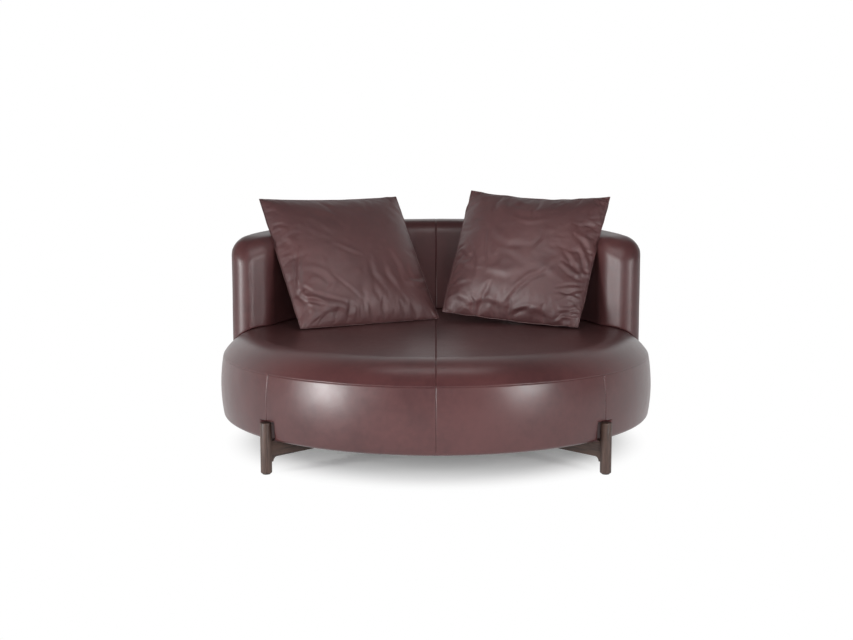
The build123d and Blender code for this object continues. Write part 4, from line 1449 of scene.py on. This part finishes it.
@dataclass
class Studio:
    """Pale floor, soft lights and the camera at the photograph's place."""

    photo_width: int = 853
    focal_px: float = 1236.0
    centre_px: float = 436.0
    camera_place: Point = (0.0, -4.833, 1.093)
    pitch: float = 7.37
    sensor: float = 36.0
    floor_half: float = 12.0
    floor_grey: Colour = (0.82, 0.82, 0.82, 1)
    white: Colour = (1, 1, 1, 1)
    shadow_reach: tuple[float, float] = (0.58, 0.84)
    veil_strength: float = 0.13
    backdrop_strength: float = 0.30
    front_strength: float = 0.05
    zenith_strength: float = 0.08
    low_sky: tuple[float, float] = (0.62, 0.10)
    sky_behind: tuple[float, float] = (-0.15, 0.55)
    mirror_behind: tuple[float, float] = (0.0, 0.5)
    mirror_low: tuple[float, float] = (0.97, 0.25)

    def camera(self) -> None:
        """Place the camera."""
        data = bpy.data.cameras.new("camera")
        data.sensor_width = self.sensor
        data.lens = self.focal_px / self.photo_width * self.sensor
        data.shift_x = (self.photo_width / 2 - self.centre_px) / self.photo_width
        piece = bpy.data.objects.new("camera", data)
        piece.location = self.camera_place
        piece.rotation_euler = (math.radians(90 - self.pitch), 0, 0)
        bpy.context.collection.objects.link(piece)
        bpy.context.scene.camera = piece

    def floor(self) -> None:
        """Lay the floor, which shows white away from the object and keeps its shadow."""
        bpy.ops.object.select_all(action="DESELECT")
        bpy.ops.mesh.primitive_plane_add(size=2 * self.floor_half, location=(0, 0, 0))
        piece = bpy.context.object
        piece.name = "floor"
        material = bpy.data.materials.new("studio_floor")
        material.use_nodes = True
        material.node_tree.nodes.clear()
        tree = Tree(material.node_tree)
        place = tree.node("TexCoord").outputs["Object"]
        distance = tree.node("VectorMath", {0: place}, operation="LENGTH").outputs["Value"]
        far = tree.ramp(distance, *self.shadow_reach)
        rays = tree.node("LightPath").outputs
        seen = tree.maths("MAXIMUM", rays["Is Camera Ray"], rays["Is Glossy Ray"])
        seen = tree.maths("MAXIMUM", seen, rays["Is Transmission Ray"])
        veil = {"Color": self.white, "Strength": self.veil_strength}
        matt = tree.node("BsdfDiffuse", {"Color": self.floor_grey}).outputs[0]
        pale = tree.node("BsdfDiffuse", {"Color": self.white}).outputs[0]
        glow = tree.node("Emission", veil).outputs[0]
        bright = tree.node("Emission", {"Color": self.white, "Strength": 1.0}).outputs[0]
        lit = tree.node("AddShader", {0: pale, 1: glow}).outputs[0]
        shown = tree.node("MixShader", {0: far, 1: lit, 2: bright}).outputs[0]
        mixed = tree.node("MixShader", {0: seen, 1: matt, 2: shown}).outputs[0]
        tree.node("OutputMaterial", {"Surface": mixed})
        piece.data.materials.append(material)

    def world(self) -> None:
        """Light the object from all round, and show white behind it."""
        world = bpy.data.worlds.new("studio")
        world.use_nodes = True
        world.node_tree.nodes.clear()
        bpy.context.scene.world = world
        tree = Tree(world.node_tree)
        rays = tree.node("LightPath").outputs
        direction = tree.node("TexCoord").outputs["Generated"]
        split = tree.node("SeparateXYZ", {"Vector": direction}).outputs
        low = tree.ramp(split["Z"], *self.low_sky)
        behind = tree.times(low, tree.ramp(split["Y"], *self.sky_behind))
        mirrored = tree.maths("MAXIMUM", rays["Is Glossy Ray"], rays["Is Transmission Ray"])
        mirrored = tree.times(mirrored, tree.ramp(split["Y"], *self.mirror_behind))
        mirrored = tree.times(mirrored, tree.ramp(split["Z"], *self.mirror_low))
        seen = tree.maths("MAXIMUM", rays["Is Camera Ray"], mirrored)
        soft = tree.weigh((behind, self.backdrop_strength), (low, self.front_strength))
        strength = tree.maths("ADD", soft, self.zenith_strength)
        shades = [
            tree.node("Background", {"Color": self.white, "Strength": value}).outputs[0]
            for value in (strength, 1.0)
        ]
        mixed = tree.node("MixShader", {0: seen, 1: shades[0], 2: shades[1]}).outputs[0]
        tree.node("OutputWorld", {"Surface": mixed})

    def build(self) -> None:
        """Set up the whole studio."""
        self.camera()
        self.floor()
        self.world()
        for lamp in LAMPS:
            lamp.hang()


LEFT_FOLDS = (
    Crease(
        ((-0.8, 0.06), (-0.86, -0.14), (-0.91, -0.34), (-0.93, -0.48), (-0.88, -0.6)),
        0.05, 0.014,
    ),
    Crease(((-0.94, -0.54), (-0.87, -0.65), (-0.76, -0.69), (-0.64, -0.77)), 0.045, 0.015),
    Crease(((-0.9, -0.66), (-0.8, -0.77), (-0.7, -0.8)), 0.04, 0.007),
    Crease(
        ((-0.92, -0.38), (-0.76, -0.56), (-0.58, -0.67), (-0.28, -0.79)),
        0.04, 0.007, 1.0, 0.7,
    ),
    Crease(
        ((-0.84, -0.22), (-0.7, -0.26), (-0.56, -0.36), (-0.5, -0.5), (-0.58, -0.6)),
        0.065, 0.006,
    ),
    Crease(((-0.8, -0.42), (-0.68, -0.44), (-0.6, -0.5)), 0.05, 0.004),
    Crease(((-0.44, -0.4), (-0.3, -0.56), (-0.14, -0.74)), 0.03, 0.005, 1.0, 0.5),
    Crease(((-0.28, 0.04), (-0.16, -0.05), (-0.02, -0.12)), 0.05, 0.005, 0.5, 1.0),
    Crease(((0.14, -0.24), (0.12, -0.42), (0.2, -0.58)), 0.07, 0.006),
    Crease(((0.32, -0.3), (0.32, -0.44), (0.4, -0.6)), 0.07, 0.006),
    Crease(((0.48, -0.14), (0.54, -0.3), (0.52, -0.44)), 0.08, 0.006),
    Crease(((0.72, -0.22), (0.66, -0.36), (0.72, -0.52)), 0.06, 0.004),
    Crease(((0.97, -0.42), (0.82, -0.5), (0.6, -0.52)), 0.06, 0.011),
    Crease(((0.97, -0.56), (0.86, -0.62), (0.74, -0.62)), 0.045, 0.005),
    Crease(((-0.74, -0.9), (-0.6, -0.83), (-0.46, -0.83), (-0.36, -0.9)), 0.1, 0.014, 0.3, 1.0),
    Crease(((-0.86, -0.72), (-0.84, -0.84), (-0.9, -0.95)), 0.05, 0.007),
    Crease(((-0.46, 0.72), (-0.36, 0.62), (-0.26, 0.5)), 0.1, 0.003),
    Crease(((-0.06, 0.74), (0.16, 0.66), (0.4, 0.7)), 0.12, 0.002),
    Crease(((-0.9, 0.4), (-0.84, 0.16), (-0.88, -0.04)), 0.08, 0.004),
    Gathers((-0.38, -0.95), (-0.02, -0.95), (-0.03, 0.16), 6, 0.026, 0.0042),
    Gathers((0.06, -0.92), (0.8, -0.92), (-0.02, 0.1), 11, 0.026, 0.0012),
    Gathers((-0.98, 0.62), (-0.98, -0.2), (0.1, -0.03), 9, 0.03, 0.002),
)
RIGHT_FOLDS = (
    Crease(((-0.5, 0.22), (-0.47, 0.02), (-0.43, -0.18), (-0.36, -0.36)), 0.05, 0.008),
    Crease(((-0.72, 0.02), (-0.62, -0.12), (-0.55, -0.28), (-0.54, -0.42)), 0.06, 0.008),
    Crease(((-0.48, 0.26), (-0.34, 0.1), (-0.14, 0.0), (0.1, 0.02)), 0.09, 0.006),
    Crease(((0.28, 0.28), (0.31, 0.12), (0.22, -0.04)), 0.055, 0.005),
    Crease(
        ((-0.02, -0.8), (0.12, -0.6), (0.26, -0.46), (0.42, -0.36), (0.56, -0.16)),
        0.055, 0.009,
    ),
    Crease(((-0.42, -0.4), (-0.26, -0.44), (-0.08, -0.46), (0.06, -0.42)), 0.1, 0.01, 0.5, 1.0),
    Crease(((-0.22, -0.1), (-0.06, -0.14), (0.1, -0.24)), 0.08, 0.006),
    Crease(((0.3, -0.3), (0.48, -0.36), (0.62, -0.42)), 0.08, 0.008, 0.5, 1.0),
    Crease(((-0.97, -0.42), (-0.8, -0.34), (-0.6, -0.38)), 0.08, 0.01, 0.5, 1.0),
    Crease(((-0.96, -0.56), (-0.8, -0.6), (-0.62, -0.58)), 0.055, 0.007),
    Crease(((-0.9, -0.06), (-0.76, -0.14), (-0.66, -0.24)), 0.055, 0.005),
    Crease(((-0.94, -0.84), (-0.76, -0.8), (-0.6, -0.86)), 0.08, 0.009, 0.4, 1.0),
    Crease(((-0.52, -0.88), (-0.3, -0.82), (-0.06, -0.88)), 0.08, 0.009, 0.4, 1.0),
    Crease(((-0.56, -0.76), (-0.5, -0.84), (-0.52, -0.96)), 0.04, 0.006),
    Crease(((0.02, -0.97), (0.14, -0.9), (0.3, -0.84)), 0.05, 0.01),
    Crease(((0.2, -0.9), (0.4, -0.88), (0.56, -0.93)), 0.075, 0.009, 0.4, 1.0),
    Crease(((0.74, 0.26), (0.86, 0.22), (0.95, 0.08)), 0.06, 0.009),
    Crease(((0.82, 0.08), (0.9, -0.04), (0.97, -0.2)), 0.05, 0.009),
    Crease(((0.66, -0.02), (0.78, -0.14), (0.92, -0.26)), 0.055, 0.008),
    Crease(((0.62, -0.22), (0.76, -0.3), (0.92, -0.34)), 0.05, 0.007),
    Crease(((-0.22, 0.62), (0.0, 0.52), (0.26, 0.58)), 0.13, 0.006),
    Crease(((-0.1, 0.4), (0.06, 0.34), (0.24, 0.4)), 0.08, 0.005, 0.5, 1.0),
    Crease(((-0.3, 0.92), (-0.22, 0.76), (-0.02, 0.68)), 0.11, 0.006),
    Crease(((0.3, 0.95), (0.4, 0.84), (0.36, 0.7)), 0.07, 0.005),
    Crease(((0.8, 0.66), (0.74, 0.46), (0.8, 0.34)), 0.08, 0.005),
    Gathers((0.96, -0.4), (0.93, -0.92), (-0.26, -0.1), 6, 0.032, 0.009),
    Gathers((0.97, 0.7), (0.97, -0.3), (-0.12, -0.04), 8, 0.04, 0.004),
    Gathers((-0.97, 0.1), (-0.97, -0.8), (0.12, 0.0), 8, 0.04, 0.004),
)


def main() -> None:
    """Build every piece round the frame, in order."""
    seat_shape = SeatShape()
    SeatUpholstery(seat_shape).build()
    back = BackUpholstery(seat_shape)
    back.build()
    LooseCushion(
        "left", 0.625, (-0.359, 0.253937, 0.686751), (30.0, 37.7, 0.0), seat_shape, LEFT_FOLDS,
        waists=(0.002, -0.002, 0.0, 0.012),
        corners=((0.010, 0.004), (0.006, 0.006), (0.010, 0.0), (0.0, 0.0)),
        slack=0.008, seed=1.3, edge_waves=0.003,
    ).build(back)
    LooseCushion(
        "right", 0.603, (0.369, 0.230036, 0.699824), (-22.2, 32.6, -2.5), seat_shape, RIGHT_FOLDS,
        waists=(-0.004, 0.006, 0.0, 0.026),
        corners=((0.002, 0.022), (-0.018, 0.008), (-0.006, 0.0), (-0.014, -0.003)),
        slack=0.018, seed=5.9, edge_waves=0.009,
    ).build(back)
    WoodenBase().build()
    DustCover().build()
    InnerFrame().build()
    Studio().build()
    bpy.context.scene.view_settings.view_transform = "Standard"


if __name__ == "__main__":
    main()
